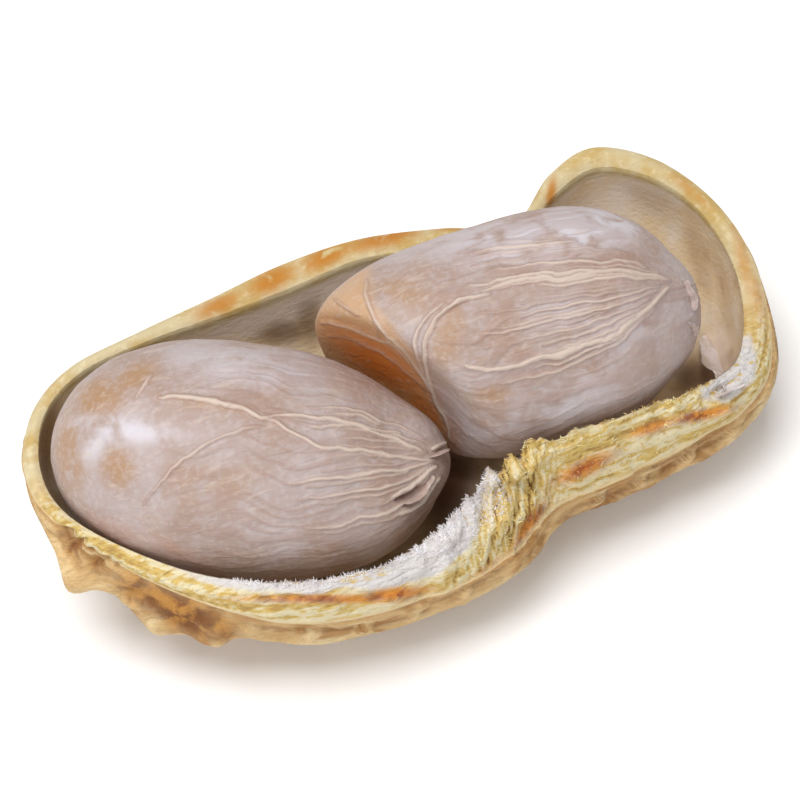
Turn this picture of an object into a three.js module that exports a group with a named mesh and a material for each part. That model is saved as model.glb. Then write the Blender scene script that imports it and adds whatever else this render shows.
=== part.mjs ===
// An opened two-seeded peanut: one half of the pod, open side up, with its two kernels in it.
// Millimetres. X runs along the pod, Y across it and Z up; the shell's clean far edge is at +Y
// and its torn near edge at -Y. The tables are drawn from a point in the middle of the open side,
// and the finished part is moved so that its origin lies under its middle, on what it rests on.
import * as THREE from "three";

// Outer edge of the shell, section by section from the left tip to the right one: the point on
// the far edge, the point on the near edge, and how deep the section hangs below them.
const OUTER_SECTIONS = [
  { far: [-18.0, 1.2, 1.3], near: [-18.0, 1.2, 1.3], depth: 0.0 },
  { far: [-16.9, 4.5, 1.3], near: [-17.2, -1.8, 1.2], depth: 3.6 },
  { far: [-14.5, 6.5, 1.3], near: [-14.6, -5.0, 0.5], depth: 6.2 },
  { far: [-10.9, 7.4, 1.2], near: [-11.6, -7.6, -0.2], depth: 7.3 },
  { far: [-6.9, 8.1, 1.2], near: [-8.1, -9.1, -1.6], depth: 7.4 },
  { far: [-3.1, 8.8, 1.2], near: [-4.3, -9.6, -2.1], depth: 7.1 },
  { far: [0.9, 9.0, 1.1], near: [-0.4, -9.5, -2.3], depth: 6.3 },
  { far: [4.9, 8.4, 0.8], near: [2.9, -8.8, -2.2], depth: 5.8 },
  { far: [8.3, 7.5, 0.6], near: [5.2, -7.3, -1.8], depth: 5.5 },
  { far: [10.9, 9.3, 1.2], near: [8.5, -6.8, -2.0], depth: 6.1 },
  { far: [13.5, 9.9, 1.5], near: [11.9, -6.2, -2.0], depth: 6.9 },
  { far: [16.3, 8.0, 1.3], near: [15.2, -5.4, -1.9], depth: 6.0 },
  { far: [18.1, 4.4, 1.0], near: [17.6, -3.5, -1.3], depth: 3.4 },
  { far: [18.6, 0.6, 0.0], near: [18.6, 0.6, 0.0], depth: 0.0 },
];

// Inner edge of the shell's lip and the hollow below it, at the same sections.
const INNER_SECTIONS = [
  { far: [-17.2, 1.1, 1.5], near: [-17.2, 1.1, 1.5], depth: 0.0 },
  { far: [-16.3, 4.1, 1.5], near: [-16.5, -1.7, 1.4], depth: 3.1 },
  { far: [-14.0, 5.9, 1.5], near: [-13.9, -4.7, 1.2], depth: 5.3 },
  { far: [-10.5, 6.6, 1.4], near: [-11.0, -6.9, 1.0], depth: 6.1 },
  { far: [-6.6, 6.9, 1.3], near: [-7.6, -8.3, 0.8], depth: 6.6 },
  { far: [-2.9, 7.3, 1.2], near: [-4.0, -8.7, 0.5], depth: 6.7 },
  { far: [0.7, 7.7, 1.2], near: [-1.2, -8.0, 0.5], depth: 6.3 },
  { far: [4.5, 7.1, 0.9], near: [1.7, -6.8, 1.1], depth: 5.5 },
  { far: [7.7, 6.2, 0.7], near: [4.1, -6.2, 2.3], depth: 5.4 },
  { far: [10.6, 8.0, 1.1], near: [7.2, -6.0, 2.3], depth: 6.0 },
  { far: [13.2, 8.7, 1.4], near: [10.7, -5.5, 1.7], depth: 6.4 },
  { far: [15.7, 7.0, 1.3], near: [13.7, -4.6, 0.6], depth: 5.8 },
  { far: [17.2, 4.1, 0.9], near: [16.0, -3.2, 0.0], depth: 3.8 },
  { far: [17.5, 0.6, 0.0], near: [17.5, 0.6, 0.0], depth: 0.0 },
];

// How full a section is: 2 is an ellipse, more is boxier, less is more pointed.
const OUTER_POWER = { near: 1.8, far: 2.25 };
const INNER_POWER = { near: 2.25, far: 2.1 };

const SHELL_ROWS = 78;
const OUTER_STEPS = 45;
const INNER_STEPS = 16;
const LIP_STEPS = 3;
const FAR_LIP_ROUNDING = 0.22;
const NEAR_LIP_ROUNDING = 0.4;
const FAR_LIP_FACING = [0, 0, 1];
const NEAR_LIP_FACING = [0, -1, 0.6];
const REST_HEIGHT = -7.3;
const MIDDLE = [0.32, 0.16];

// Raised net on the outside: ribs run from tip to tip, a lane apart, with a slow sway and a
// quick waver, and short slanted links join them. Rib width, sway and waver are in lanes, link
// width is in link pitches, and the fades are in sections at the tips and in turns at the edges.
const NET = {
  lanes: 9,
  height: 0.38,
  ribWidth: 0.15,
  sway: { reach: 0.16, pace: 0.55, start: 1.3 },
  waver: { reach: 0.1, pace: 1.4, twist: 7 },
  linkPitch: 2.5,
  linkWidth: 0.15,
  linkHeight: 0.75,
  linkSlant: 0.3,
  linkOffset: 0.37,
  fadeAtEdge: 0.05,
  fadeAtTip: 0.9,
};

// Larger lumps under the near edge of the left lobe, and the long pit in the middle one: place
// along X, place round the section as a fraction from the near edge, size along and round, height.
const LUMPS = [
  { along: -16.3, round: 0.17, length: 0.75, spread: 0.08, height: 1.5 },
  { along: -13.6, round: 0.17, length: 1.6, spread: 0.08, height: 1.3 },
  { along: -11.5, round: 0.15, length: 0.8, spread: 0.07, height: 0.9 },
  { along: -13.2, round: 0.1, length: 1.9, spread: 0.022, height: -0.5 },
];

// A kernel is a blunt body of revolution: yaw and pitch turn its long axis, fullness says how
// blunt each end is (2 is an ellipse), and taper makes the end thinner than the start. The dish
// is the hollow that the other kernel has pressed into it: facing points at that kernel, depth
// and middle place the hollow, radius is how wide it bends and softness rounds its rim. The
// beak is the small point over the seed's germ: where it faces, how tall it is and its width.
const KERNELS = [
  {
    name: "kernel_front",
    centre: [-8.0, -1.15, 0.65],
    yaw: -23.5,
    pitch: -7,
    length: 18.2,
    radius: 5.58,
    fullness: { start: 2.25, end: 2.3 },
    taper: 0.05,
    dish: null,
    beak: { facing: [0.94, -0.32, 0.1], height: 0.7, width: 0.03 },
    colour: 0xd9c8c6,
  },
  {
    name: "kernel_back",
    centre: [4.8, 0.1, 2.2],
    yaw: 1.5,
    pitch: -4,
    length: 19.2,
    radius: 5.5,
    fullness: { start: 2.9, end: 3.2 },
    taper: -0.03,
    dish: {
      facing: [-0.8, -0.56, 0.02],
      depth: 3.4,
      middle: [-1.5, -1.8, 1.7],
      radius: 10,
      softness: 0.6,
    },
    beak: { facing: [0.98, -0.19, 0.03], height: 0.5, width: 0.04 },
    colour: 0xd8c9c8,
  },
];
const KERNEL_ROWS = 34;
const KERNEL_STEPS = 28;

const lerp = (a, b, t) => a + (b - a) * t;
const radians = (degrees) => (degrees * Math.PI) / 180;
const add = (p, q, scale = 1) => p.map((value, i) => value + q[i] * scale);
const dot = (p, q) => p[0] * q[0] + p[1] * q[1] + p[2] * q[2];
const cross = (p, q) => [
  p[1] * q[2] - p[2] * q[1],
  p[2] * q[0] - p[0] * q[2],
  p[0] * q[1] - p[1] * q[0],
];

function normalised(p) {
  const length = Math.hypot(...p);
  return length > 0 ? p.map((value) => value / length) : [0, 0, 0];
}

// Smooth curve through the rows of a table; the table carries one extra row at each end.
function smoothThrough(rows, place) {
  const first = Math.min(Math.floor(place), rows.length - 4);
  const t = place - first;
  const [a, b, c, d] = rows.slice(first, first + 4);
  return b.map((_, i) => {
    const slope = (c[i] - a[i]) * t;
    const bend = (2 * a[i] - 5 * b[i] + 4 * c[i] - d[i]) * t * t;
    const twist = (3 * b[i] - a[i] - 3 * c[i] + d[i]) * t * t * t;
    return b[i] + 0.5 * (slope + bend + twist);
  });
}

// The far edge carries on round each tip into the near edge, so both edges stay round there.
function railTables(sections) {
  const last = sections.length - 1;
  const far = sections.map((section) => section.far);
  const near = sections.map((section) => section.near);
  const depth = sections.map((section) => [section.depth]);
  return {
    far: [near[1], ...far, near[last - 1]],
    near: [far[1], ...near, far[last - 1]],
    depth: [[-depth[1][0]], ...depth, [-depth[last - 1][0]]],
  };
}

function signedPower(value, power) {
  return Math.sign(value) * Math.abs(value) ** power;
}

// A point of a section; round runs from 0 at the near edge to 1 at the far edge.
function sectionPoint(rails, power, place, round) {
  const far = smoothThrough(rails.far, place);
  const near = smoothThrough(rails.near, place);
  const depth = smoothThrough(rails.depth, place)[0];
  const angle = round * Math.PI;
  const exponent = 2 / (round < 0.5 ? power.near : power.far);
  const across = -signedPower(Math.cos(angle), exponent);
  const down = Math.abs(Math.sin(angle)) ** exponent;
  const point = near.map((value, i) => lerp(value, far[i], (across + 1) / 2));
  point[2] -= depth * down;
  return point;
}

// Height of the net at a place on the outside, from 0 between its strands to 1 on a rib.
function netHeight(along, round) {
  const { sway, waver } = NET;
  const slow = sway.reach * Math.sin(along * sway.pace + sway.start);
  const quick = waver.reach * Math.sin(along * waver.pace + round * waver.twist);
  const lane = round * NET.lanes + slow + quick;
  const index = Math.floor(lane);
  const across = lane - index - 0.5;
  const rib = Math.exp(-(((0.5 - Math.abs(across)) / NET.ribWidth) ** 2));
  const slant = index % 2 === 0 ? NET.linkSlant : -NET.linkSlant;
  const link = along / NET.linkPitch + NET.linkOffset * index + slant * across;
  const gap = Math.abs(link - Math.round(link));
  return Math.max(rib, NET.linkHeight * Math.exp(-((gap / NET.linkWidth) ** 2)));
}

function lumpHeight(along, round) {
  return LUMPS.reduce((sum, lump) => {
    const a = (along - lump.along) / lump.length;
    const b = (round - lump.round) / lump.spread;
    return sum + lump.height * Math.exp(-a * a - b * b);
  }, 0);
}

// The relief dies away at the lip and at the tips, where the ribs run together.
function reliefFade(place, round) {
  const tip = Math.min(place, OUTER_SECTIONS.length - 1 - place) / NET.fadeAtTip;
  const edge = Math.min(round, 1 - round) / NET.fadeAtEdge;
  return Math.min(1, tip) * Math.min(1, edge);
}

// A point on the outside, raised by the net and the lumps and flattened where the pod rests.
function outerPoint(rails, place, round) {
  const step = 1e-3;
  const point = sectionPoint(rails, OUTER_POWER, place, round);
  const fade = reliefFade(place, round);
  if (fade <= 0) {
    return point;
  }
  const ahead = sectionPoint(rails, OUTER_POWER, place + step, round);
  const beside = sectionPoint(rails, OUTER_POWER, place, round + step);
  const outward = normalised(cross(add(beside, point, -1), add(ahead, point, -1)));
  const relief = NET.height * netHeight(point[0], round) + lumpHeight(point[0], round);
  const raised = add(point, outward, fade * relief);
  raised[2] = Math.max(raised[2], REST_HEIGHT);
  return raised;
}

// The lip between two edges, rounded along the direction it faces.
function lipPoint(from, to, t, facing, rounding) {
  const flat = from.map((value, i) => lerp(value, to[i], t));
  return add(flat, facing, rounding * Math.sin(Math.PI * t));
}

// One closed ring of the shell: under the outside from near to far, over the far lip,
// back through the hollow and over the near lip.
function shellRing(outerRails, innerRails, place) {
  const ring = [];
  for (let i = 0; i <= OUTER_STEPS; i += 1) {
    ring.push(outerPoint(outerRails, place, i / OUTER_STEPS));
  }
  const inside = [];
  for (let i = 0; i <= INNER_STEPS; i += 1) {
    inside.push(sectionPoint(innerRails, INNER_POWER, place, 1 - i / INNER_STEPS));
  }
  const tipFade = Math.min(1, Math.min(place, OUTER_SECTIONS.length - 1 - place));
  const nearFacing = normalised(NEAR_LIP_FACING);
  const facing = FAR_LIP_FACING.map((value, axis) => lerp(value, nearFacing[axis], tipFade));
  const rounding = lerp(FAR_LIP_ROUNDING, NEAR_LIP_ROUNDING, tipFade);
  const farEdge = ring[OUTER_STEPS];
  for (let i = 1; i < LIP_STEPS; i += 1) {
    ring.push(lipPoint(farEdge, inside[0], i / LIP_STEPS, FAR_LIP_FACING, FAR_LIP_ROUNDING));
  }
  ring.push(...inside);
  for (let i = 1; i < LIP_STEPS; i += 1) {
    ring.push(lipPoint(inside[INNER_STEPS], ring[0], i / LIP_STEPS, facing, rounding));
  }
  return ring;
}

// Joins rings of equal length into a closed surface. Points at the same place become one, and
// faces that lose a corner by it are left out.
function closedSurface(rings) {
  const places = new Map();
  const positions = [];
  const indexOf = (point) => {
    const key = point.map((value) => Math.round(value * 1e5)).join(",");
    if (!places.has(key)) {
      places.set(key, positions.length / 3);
      positions.push(...point);
    }
    return places.get(key);
  };
  const faces = [];
  const addFace = (a, b, c) => {
    if (a !== b && b !== c && c !== a) {
      faces.push(a, b, c);
    }
  };
  for (let row = 0; row + 1 < rings.length; row += 1) {
    const size = rings[row].length;
    for (let i = 0; i < size; i += 1) {
      const next = (i + 1) % size;
      const corners = [rings[row][i], rings[row][next], rings[row + 1][next], rings[row + 1][i]];
      const [a, b, c, d] = corners.map(indexOf);
      addFace(a, b, c);
      addFace(a, c, d);
    }
  }
  const geometry = new THREE.BufferGeometry();
  geometry.setAttribute("position", new THREE.Float32BufferAttribute(positions, 3));
  geometry.setIndex(faces);
  geometry.computeVertexNormals();
  return geometry;
}

function namedMesh(name, geometry, colour, roughness) {
  const material = new THREE.MeshStandardMaterial({ color: colour, roughness, metalness: 0 });
  geometry.translate(-MIDDLE[0], -MIDDLE[1], -REST_HEIGHT);
  const mesh = new THREE.Mesh(geometry, material);
  mesh.name = name;
  return mesh;
}

function shellHalf() {
  const outerRails = railTables(OUTER_SECTIONS);
  const innerRails = railTables(INNER_SECTIONS);
  const rings = [];
  for (let row = 0; row <= SHELL_ROWS; row += 1) {
    const place = ((OUTER_SECTIONS.length - 1) * row) / SHELL_ROWS;
    rings.push(shellRing(outerRails, innerRails, place));
  }
  return namedMesh("shell_half", closedSurface(rings), 0xcfab6a, 0.8);
}

function kernelDirections(kernel) {
  const yaw = radians(kernel.yaw);
  const pitch = radians(kernel.pitch);
  const axis = [
    Math.cos(yaw) * Math.cos(pitch),
    Math.sin(yaw) * Math.cos(pitch),
    Math.sin(pitch),
  ];
  const side = [-Math.sin(yaw), Math.cos(yaw), 0];
  return { axis, side, up: cross(axis, side) };
}

function kernelPower(kernel, along) {
  return along < 0 ? kernel.fullness.start : kernel.fullness.end;
}

function kernelRadius(kernel, along) {
  return kernel.radius * (1 - kernel.taper * along);
}

// Two kernels grow against each other, so one carries a shallow dish where the other lay:
// points beyond the dish move straight back to it, and its rim stays a little rounded.
function behindDish(point, kernel) {
  const facing = normalised(kernel.dish.facing);
  const aside = add(point, kernel.dish.middle, -1);
  const reach = dot(aside, facing);
  const offAxis = dot(aside, aside) - reach * reach;
  const floor = kernel.dish.depth + offAxis / (2 * kernel.dish.radius);
  const beyond = dot(add(point, kernel.centre, -1), facing) - floor;
  const { softness } = kernel.dish;
  return add(point, facing, -softness * Math.log(1 + Math.exp(beyond / softness)));
}

// Draws the skin out to the beak's point.
function beaked(point, kernel) {
  const facing = normalised(kernel.beak.facing);
  const turn = 1 - dot(normalised(add(point, kernel.centre, -1)), facing);
  return add(point, facing, kernel.beak.height * Math.exp(-((turn / kernel.beak.width) ** 2)));
}

function kernelMesh(kernel) {
  const { axis, side, up } = kernelDirections(kernel);
  const rings = [];
  for (let row = 0; row <= KERNEL_ROWS; row += 1) {
    const along = -Math.cos((Math.PI * row) / KERNEL_ROWS);
    const bulge = Math.sqrt(Math.max(0, 1 - Math.abs(along) ** kernelPower(kernel, along)));
    const radius = kernelRadius(kernel, along) * bulge;
    const ring = [];
    for (let i = 0; i < KERNEL_STEPS; i += 1) {
      const angle = (2 * Math.PI * i) / KERNEL_STEPS;
      let point = add(kernel.centre, axis, (along * kernel.length) / 2);
      point = add(point, side, radius * Math.cos(angle));
      point = add(point, up, radius * Math.sin(angle));
      point = kernel.dish ? behindDish(point, kernel) : point;
      ring.push(beaked(point, kernel));
    }
    rings.push(ring);
  }
  return namedMesh(kernel.name, closedSurface(rings), kernel.colour, 0.6);
}

const peanut = new THREE.Group();
peanut.name = "peanut";
peanut.add(shellHalf(), ...KERNELS.map(kernelMesh));
export default peanut;
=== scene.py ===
"""The looks of an opened two-seeded peanut: a torn half of its pod with two kernels lying in it.

Shapes are worked out in millimetres from a point in the middle of the pod's open side, X along
the pod and Z up, and are moved to the frame's origin and to metres when a mesh is made.
"""

import logging
import math
from collections.abc import Sequence
from dataclasses import dataclass, field
from enum import Enum

import bpy
import numpy as np
from mathutils import Matrix, Vector


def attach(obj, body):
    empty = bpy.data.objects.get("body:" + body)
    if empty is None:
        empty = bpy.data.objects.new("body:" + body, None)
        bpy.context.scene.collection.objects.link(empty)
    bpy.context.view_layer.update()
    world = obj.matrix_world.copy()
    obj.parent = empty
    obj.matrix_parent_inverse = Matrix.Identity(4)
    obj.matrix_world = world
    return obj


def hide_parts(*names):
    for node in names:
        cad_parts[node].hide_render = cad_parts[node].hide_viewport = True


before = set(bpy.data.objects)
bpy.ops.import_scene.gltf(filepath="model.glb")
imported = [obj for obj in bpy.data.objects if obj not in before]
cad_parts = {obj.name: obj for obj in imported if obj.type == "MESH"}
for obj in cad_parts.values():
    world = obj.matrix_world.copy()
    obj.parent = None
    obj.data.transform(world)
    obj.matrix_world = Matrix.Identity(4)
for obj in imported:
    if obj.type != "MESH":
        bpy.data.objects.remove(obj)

LOG = logging.getLogger("peanut")
ROOT = "root"
MIDDLE_MM = np.array([0.32, 0.16, -7.3])
METRES_PER_MM = 0.001
PHOTO_SIDE = 800.0
SWAY_PACE = 0.05
SWAY_REACH = 4.5
PROBE = 1e-3

Point2 = tuple[float, float]
Point3 = tuple[float, float, float]


class Slot(Enum):
    """The finish slots that the record names."""

    SHELL = "shell"
    KERNEL = "kernel_skin"


class Ramp(Enum):
    """How a colour ramp passes from one stop to the next."""

    LINEAR = "LINEAR"
    EASE = "EASE"


def srgb(red: int, green: int, blue: int) -> tuple[float, float, float, float]:
    """A colour as seen on screen, given in 0 to 255, as Blender's linear colour with alpha."""
    parts = [value / 255 for value in (red, green, blue)]
    linear = [p / 12.92 if p <= 0.04045 else ((p + 0.055) / 1.055) ** 2.4 for p in parts]
    return (linear[0], linear[1], linear[2], 1.0)


def unit(vectors: np.ndarray) -> np.ndarray:
    """Vectors of length one along the last axis."""
    length = np.linalg.norm(vectors, axis=-1, keepdims=True)
    return vectors / np.maximum(length, 1e-9)


def smoothstep(value: np.ndarray, start: float, end: float) -> np.ndarray:
    """A smooth rise from 0 at start to 1 at end."""
    t = np.clip((value - start) / (end - start), 0.0, 1.0)
    return t * t * (3.0 - 2.0 * t)


def bell(distance: np.ndarray, width: float) -> np.ndarray:
    """A smooth bump: 1 at distance 0, falling away over the width."""
    return np.exp(-((distance / width) ** 2))


def to_row_frame(points: np.ndarray) -> np.ndarray:
    """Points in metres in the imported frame, from points in millimetres about the open side."""
    return (points - MIDDLE_MM) * METRES_PER_MM


@dataclass(frozen=True)
class Grain:
    """Smooth repeatable noise in space.

    Attributes:
        seed: Picks one of many patterns.
    """

    seed: int

    def corner(self, cells: np.ndarray) -> np.ndarray:
        """A fixed value between -1 and 1 for each whole-numbered cell."""
        mixed = cells[..., 0] * 73856093 ^ cells[..., 1] * 19349663 ^ cells[..., 2] * 83492791
        mixed = (mixed ^ (self.seed * 2654435761)) & 0xFFFFFFFF
        mixed = (mixed ^ (mixed >> 15)) * 2246822519 & 0xFFFFFFFF
        mixed = (mixed ^ (mixed >> 13)) * 3266489917 & 0xFFFFFFFF
        mixed = mixed ^ (mixed >> 16)
        return mixed / float(0x7FFFFFFF) - 1.0

    def value(self, points: np.ndarray, pace: Point3 | float = 1.0) -> np.ndarray:
        """Smooth noise between -1 and 1.

        Args:
            points: Places, with the three coordinates on the last axis.
            pace: How many cells there are in a millimetre, along each axis.

        Returns:
            One value for each place.
        """
        spread = points * np.asarray(pace, float)
        base = np.floor(spread).astype(np.int64)
        t = spread - base
        t = t * t * (3.0 - 2.0 * t)
        total = np.zeros(points.shape[:-1])
        for dx in (0, 1):
            for dy in (0, 1):
                for dz in (0, 1):
                    step = np.array([dx, dy, dz])
                    weight = np.prod(np.where(step == 1, t, 1.0 - t), axis=-1)
                    total += weight * self.corner(base + step)
        return total

    def layered(self, points: np.ndarray, pace: Point3 | float, layers: int = 3) -> np.ndarray:
        """Noise with finer and weaker layers added, each twice as fine as the last."""
        spread = points * np.asarray(pace, float)
        total = np.zeros(points.shape[:-1])
        strength = 1.0
        for layer in range(layers):
            total += strength * self.value(spread + 11.3 * layer, 1.0)
            spread = spread * 2.03
            strength *= 0.5
        return total / 1.75

    def ridged(self, points: np.ndarray, pace: Point3 | float) -> np.ndarray:
        """Thin raised lines between 0 and 1, where the noise passes through zero."""
        return bell(self.value(points, pace), 0.16)


@dataclass(frozen=True)
class PhotoCamera:
    """The camera at the photograph's viewing angle.

    Attributes:
        azimuth: Degrees round the pod, 0 looking along +Y.
        elevation: Degrees above the horizon.
        roll: Degrees that the picture is turned.
        distance: Millimetres from the middle of the open side.
        scale: Picture points to the millimetre at that middle.
    """

    azimuth: float = -12.08
    elevation: float = 56.09
    roll: float = -7.17
    distance: float = 140.0
    scale: float = 21.0
    sensor_mm: float = 36.0

    def axes(self) -> tuple[np.ndarray, np.ndarray, np.ndarray]:
        """The picture's right and up directions and the direction back to the camera."""
        a, e, r = np.radians([self.azimuth, self.elevation, self.roll])
        right = np.array([np.cos(a), np.sin(a), 0.0])
        up = np.array([-np.sin(a) * np.sin(e), np.cos(a) * np.sin(e), np.cos(e)])
        back = np.array([np.sin(a) * np.cos(e), -np.cos(a) * np.cos(e), np.sin(e)])
        across = np.cos(r) * right + np.sin(r) * up
        upward = -np.sin(r) * right + np.cos(r) * up
        return across, upward, back

    def project(self, points: np.ndarray) -> np.ndarray:
        """Where points in millimetres fall in the picture, as 800 by 800 picture points."""
        across, upward, back = self.axes()
        offset = points - back * self.distance
        depth = -(offset @ back)
        focal = self.scale * self.distance
        x = offset @ across / depth * focal + PHOTO_SIDE / 2
        y = PHOTO_SIDE / 2 - offset @ upward / depth * focal
        return np.stack([x, y], axis=-1)

    def seen_share(self, points: np.ndarray, normals: np.ndarray) -> np.ndarray:
        """How squarely a surface faces the camera, from 0 edge on or turned away to 1."""
        back = self.axes()[2]
        toward = unit(back * self.distance - points)
        return np.clip(np.sum(toward * normals, axis=-1), 0.0, 1.0)

    def build(self) -> bpy.types.Object:
        """Makes the camera and makes it the scene's own."""
        across, upward, back = self.axes()
        place = to_row_frame(back * self.distance)
        data = bpy.data.cameras.new("photo_camera")
        data.sensor_fit = "HORIZONTAL"
        data.sensor_width = self.sensor_mm
        data.lens = self.scale * self.distance / PHOTO_SIDE * self.sensor_mm
        data.clip_start = 0.005
        data.clip_end = 10.0
        camera = bpy.data.objects.new("photo_camera", data)
        turn = Matrix([across, upward, back]).transposed().to_4x4()
        camera.matrix_world = Matrix.Translation(Vector(place)) @ turn
        bpy.context.scene.collection.objects.link(camera)
        bpy.context.scene.camera = camera
        return camera


PHOTO = PhotoCamera()


def rounded(corners: np.ndarray, passes: int = 2) -> np.ndarray:
    """A line with its corners cut off, twice over, so that it bends softly."""
    for _ in range(passes):
        before = 0.75 * corners[:-1] + 0.25 * corners[1:]
        after = 0.25 * corners[:-1] + 0.75 * corners[1:]
        middle = np.stack([before, after], axis=1).reshape(-1, 2)
        corners = np.vstack([corners[:1], middle, corners[-1:]])
    return corners


def swayed(picture: np.ndarray, grain: "Grain") -> np.ndarray:
    """Places of the picture moved a little to and fro, so that lines drawn there waver."""
    level = np.zeros(picture.shape[:-1])
    spread = np.concatenate([picture * SWAY_PACE, level[..., None]], axis=-1)
    aside = np.stack([grain.layered(spread, 1.0), grain.layered(spread + 40.0, 1.0)], axis=-1)
    return picture + SWAY_REACH * aside


@dataclass
class Stroke:
    """A line drawn in the picture, such as a vein of a kernel's skin.

    Attributes:
        points: The line's corners in the picture.
        width: Half width in picture points.
        height: How strong the line is.
    """

    points: list[Point2]
    width: float = 1.7
    height: float = 1.0

    def strength(self, picture: np.ndarray) -> np.ndarray:
        """How strongly the line shows at places of the picture; it thins out at both ends."""
        corners = rounded(np.array(self.points, float))
        margin = 4.0 * self.width
        above = np.all(picture > corners.min(axis=0) - margin, axis=-1)
        close = above & np.all(picture < corners.max(axis=0) + margin, axis=-1)
        shown = np.zeros(picture.shape[:-1])
        shown[close] = self.strength_near(picture[close], corners)
        return shown

    def strength_near(self, picture: np.ndarray, corners: np.ndarray) -> np.ndarray:
        """The same for places close to the line, given its rounded corners."""
        nearest = np.full(picture.shape[:-1], 1e9)
        place = np.zeros(picture.shape[:-1])
        for index, (start, end) in enumerate(zip(corners[:-1], corners[1:])):
            run = end - start
            t = np.clip((picture - start) @ run / max(run @ run, 1e-9), 0.0, 1.0)
            distance = np.linalg.norm(picture - start - t[..., None] * run, axis=-1)
            closer = distance < nearest
            nearest = np.where(closer, distance, nearest)
            place = np.where(closer, index + t, place)
        share = place / (len(corners) - 1)
        taper = 0.35 + 0.65 * np.sin(np.pi * np.clip(share, 0.02, 0.98)) ** 0.5
        return self.height * taper * bell(nearest, self.width * (0.6 + 0.4 * taper))


def strokes_over(strokes: Sequence[Stroke], picture: np.ndarray) -> np.ndarray:
    """The strongest of several lines at each place."""
    total = np.zeros(picture.shape[:-1])
    for stroke in strokes:
        total = np.maximum(total, stroke.strength(picture))
    return total


def fan(first: list[Point2], last: list[Point2], count: int, seed: int) -> list[Stroke]:
    """Uneven strokes spread between two lines.

    Args:
        first: The corners of the line on one side.
        last: As many corners of the line on the other side.
        count: How many strokes there are.
        seed: Picks their lengths and strengths.

    Returns:
        The strokes, side by side.
    """
    uneven = np.random.default_rng(seed)
    one, other = np.array(first, float), np.array(last, float)
    corner = np.arange(len(one))
    strokes = []
    for number in range(count):
        share = (number + 0.5 + uneven.uniform(-0.3, 0.3)) / count
        line = one + (other - one) * share
        start, end = uneven.uniform(0.0, 0.4), uneven.uniform(0.7, 1.0)
        place = np.linspace(start, end, 7) * (len(one) - 1)
        across = np.interp(place, corner, line[:, 0])
        down = np.interp(place, corner, line[:, 1])
        points = list(zip(across.tolist(), down.tolist()))
        strokes.append(Stroke(points, uneven.uniform(1.5, 2.2), uneven.uniform(0.5, 1.0)))
    return strokes


@dataclass
class Patch:
    """A soft-edged oval mark placed in the picture.

    Attributes:
        centre: Its middle in the picture.
        reach: Half length and half width in picture points.
        turn: Degrees that its length is turned, clockwise in the picture.
        strength: How strong the mark is.
    """

    centre: Point2
    reach: Point2
    turn: float = 0.0
    strength: float = 1.0

    def cover(self, picture: np.ndarray) -> np.ndarray:
        """How strongly the mark covers places of the picture."""
        turn = math.radians(self.turn)
        offset = picture - np.array(self.centre)
        along = offset[..., 0] * math.cos(turn) + offset[..., 1] * math.sin(turn)
        aside = offset[..., 1] * math.cos(turn) - offset[..., 0] * math.sin(turn)
        away = (along / self.reach[0]) ** 2 + (aside / self.reach[1]) ** 2
        return self.strength * np.exp(-(away**1.5))


def patches_over(patches: Sequence[Patch], picture: np.ndarray) -> np.ndarray:
    """The strongest of several marks at each place."""
    total = np.zeros(picture.shape[:-1])
    for patch in patches:
        total = np.maximum(total, patch.cover(picture))
    return total


@dataclass
class Surface:
    """Mesh data of one piece before it becomes an object, in millimetres.

    Attributes:
        points: Corner places, one row each.
        faces: Corner numbers of each face.
        marks: Named values at each corner, which the finishes read.
    """

    points: np.ndarray
    faces: list[list[int]]
    marks: dict[str, np.ndarray] = field(default_factory=dict)

    def build(self, name: str) -> bpy.types.Object:
        """Makes the object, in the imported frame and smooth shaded."""
        mesh = bpy.data.meshes.new(name)
        mesh.from_pydata(to_row_frame(self.points).tolist(), [], self.faces)
        mesh.validate()
        for mark, values in self.marks.items():
            layer = mesh.attributes.new(mark, "FLOAT", "POINT")
            layer.data.foreach_set("value", values.astype(np.float32))
        mesh.polygons.foreach_set("use_smooth", [True] * len(mesh.polygons))
        mesh.update()
        piece = bpy.data.objects.new(name, mesh)
        bpy.context.scene.collection.objects.link(piece)
        return piece


def grid_normals(points: np.ndarray, wrap: bool) -> np.ndarray:
    """Outward directions of a grid of rings, from the steps between neighbours.

    Args:
        points: Rings along the first axis, places round each ring along the second.
        wrap: Whether the last place of a ring joins the first.

    Returns:
        One direction for each place.
    """
    along = np.gradient(points, axis=0)
    if wrap:
        round_ring = np.roll(points, -1, axis=1) - np.roll(points, 1, axis=1)
    else:
        round_ring = np.gradient(points, axis=1)
    return unit(np.cross(round_ring, along))


def ring_faces(rows: int, steps: int) -> np.ndarray:
    """Faces that join closed rings of equal length, row to row."""
    row, step = np.meshgrid(np.arange(rows - 1), np.arange(steps), indexing="ij")
    after = (step + 1) % steps
    corners = [row * steps + step, row * steps + after]
    corners += [(row + 1) * steps + after, (row + 1) * steps + step]
    return np.stack(corners, axis=-1).reshape(-1, 4)


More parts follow.
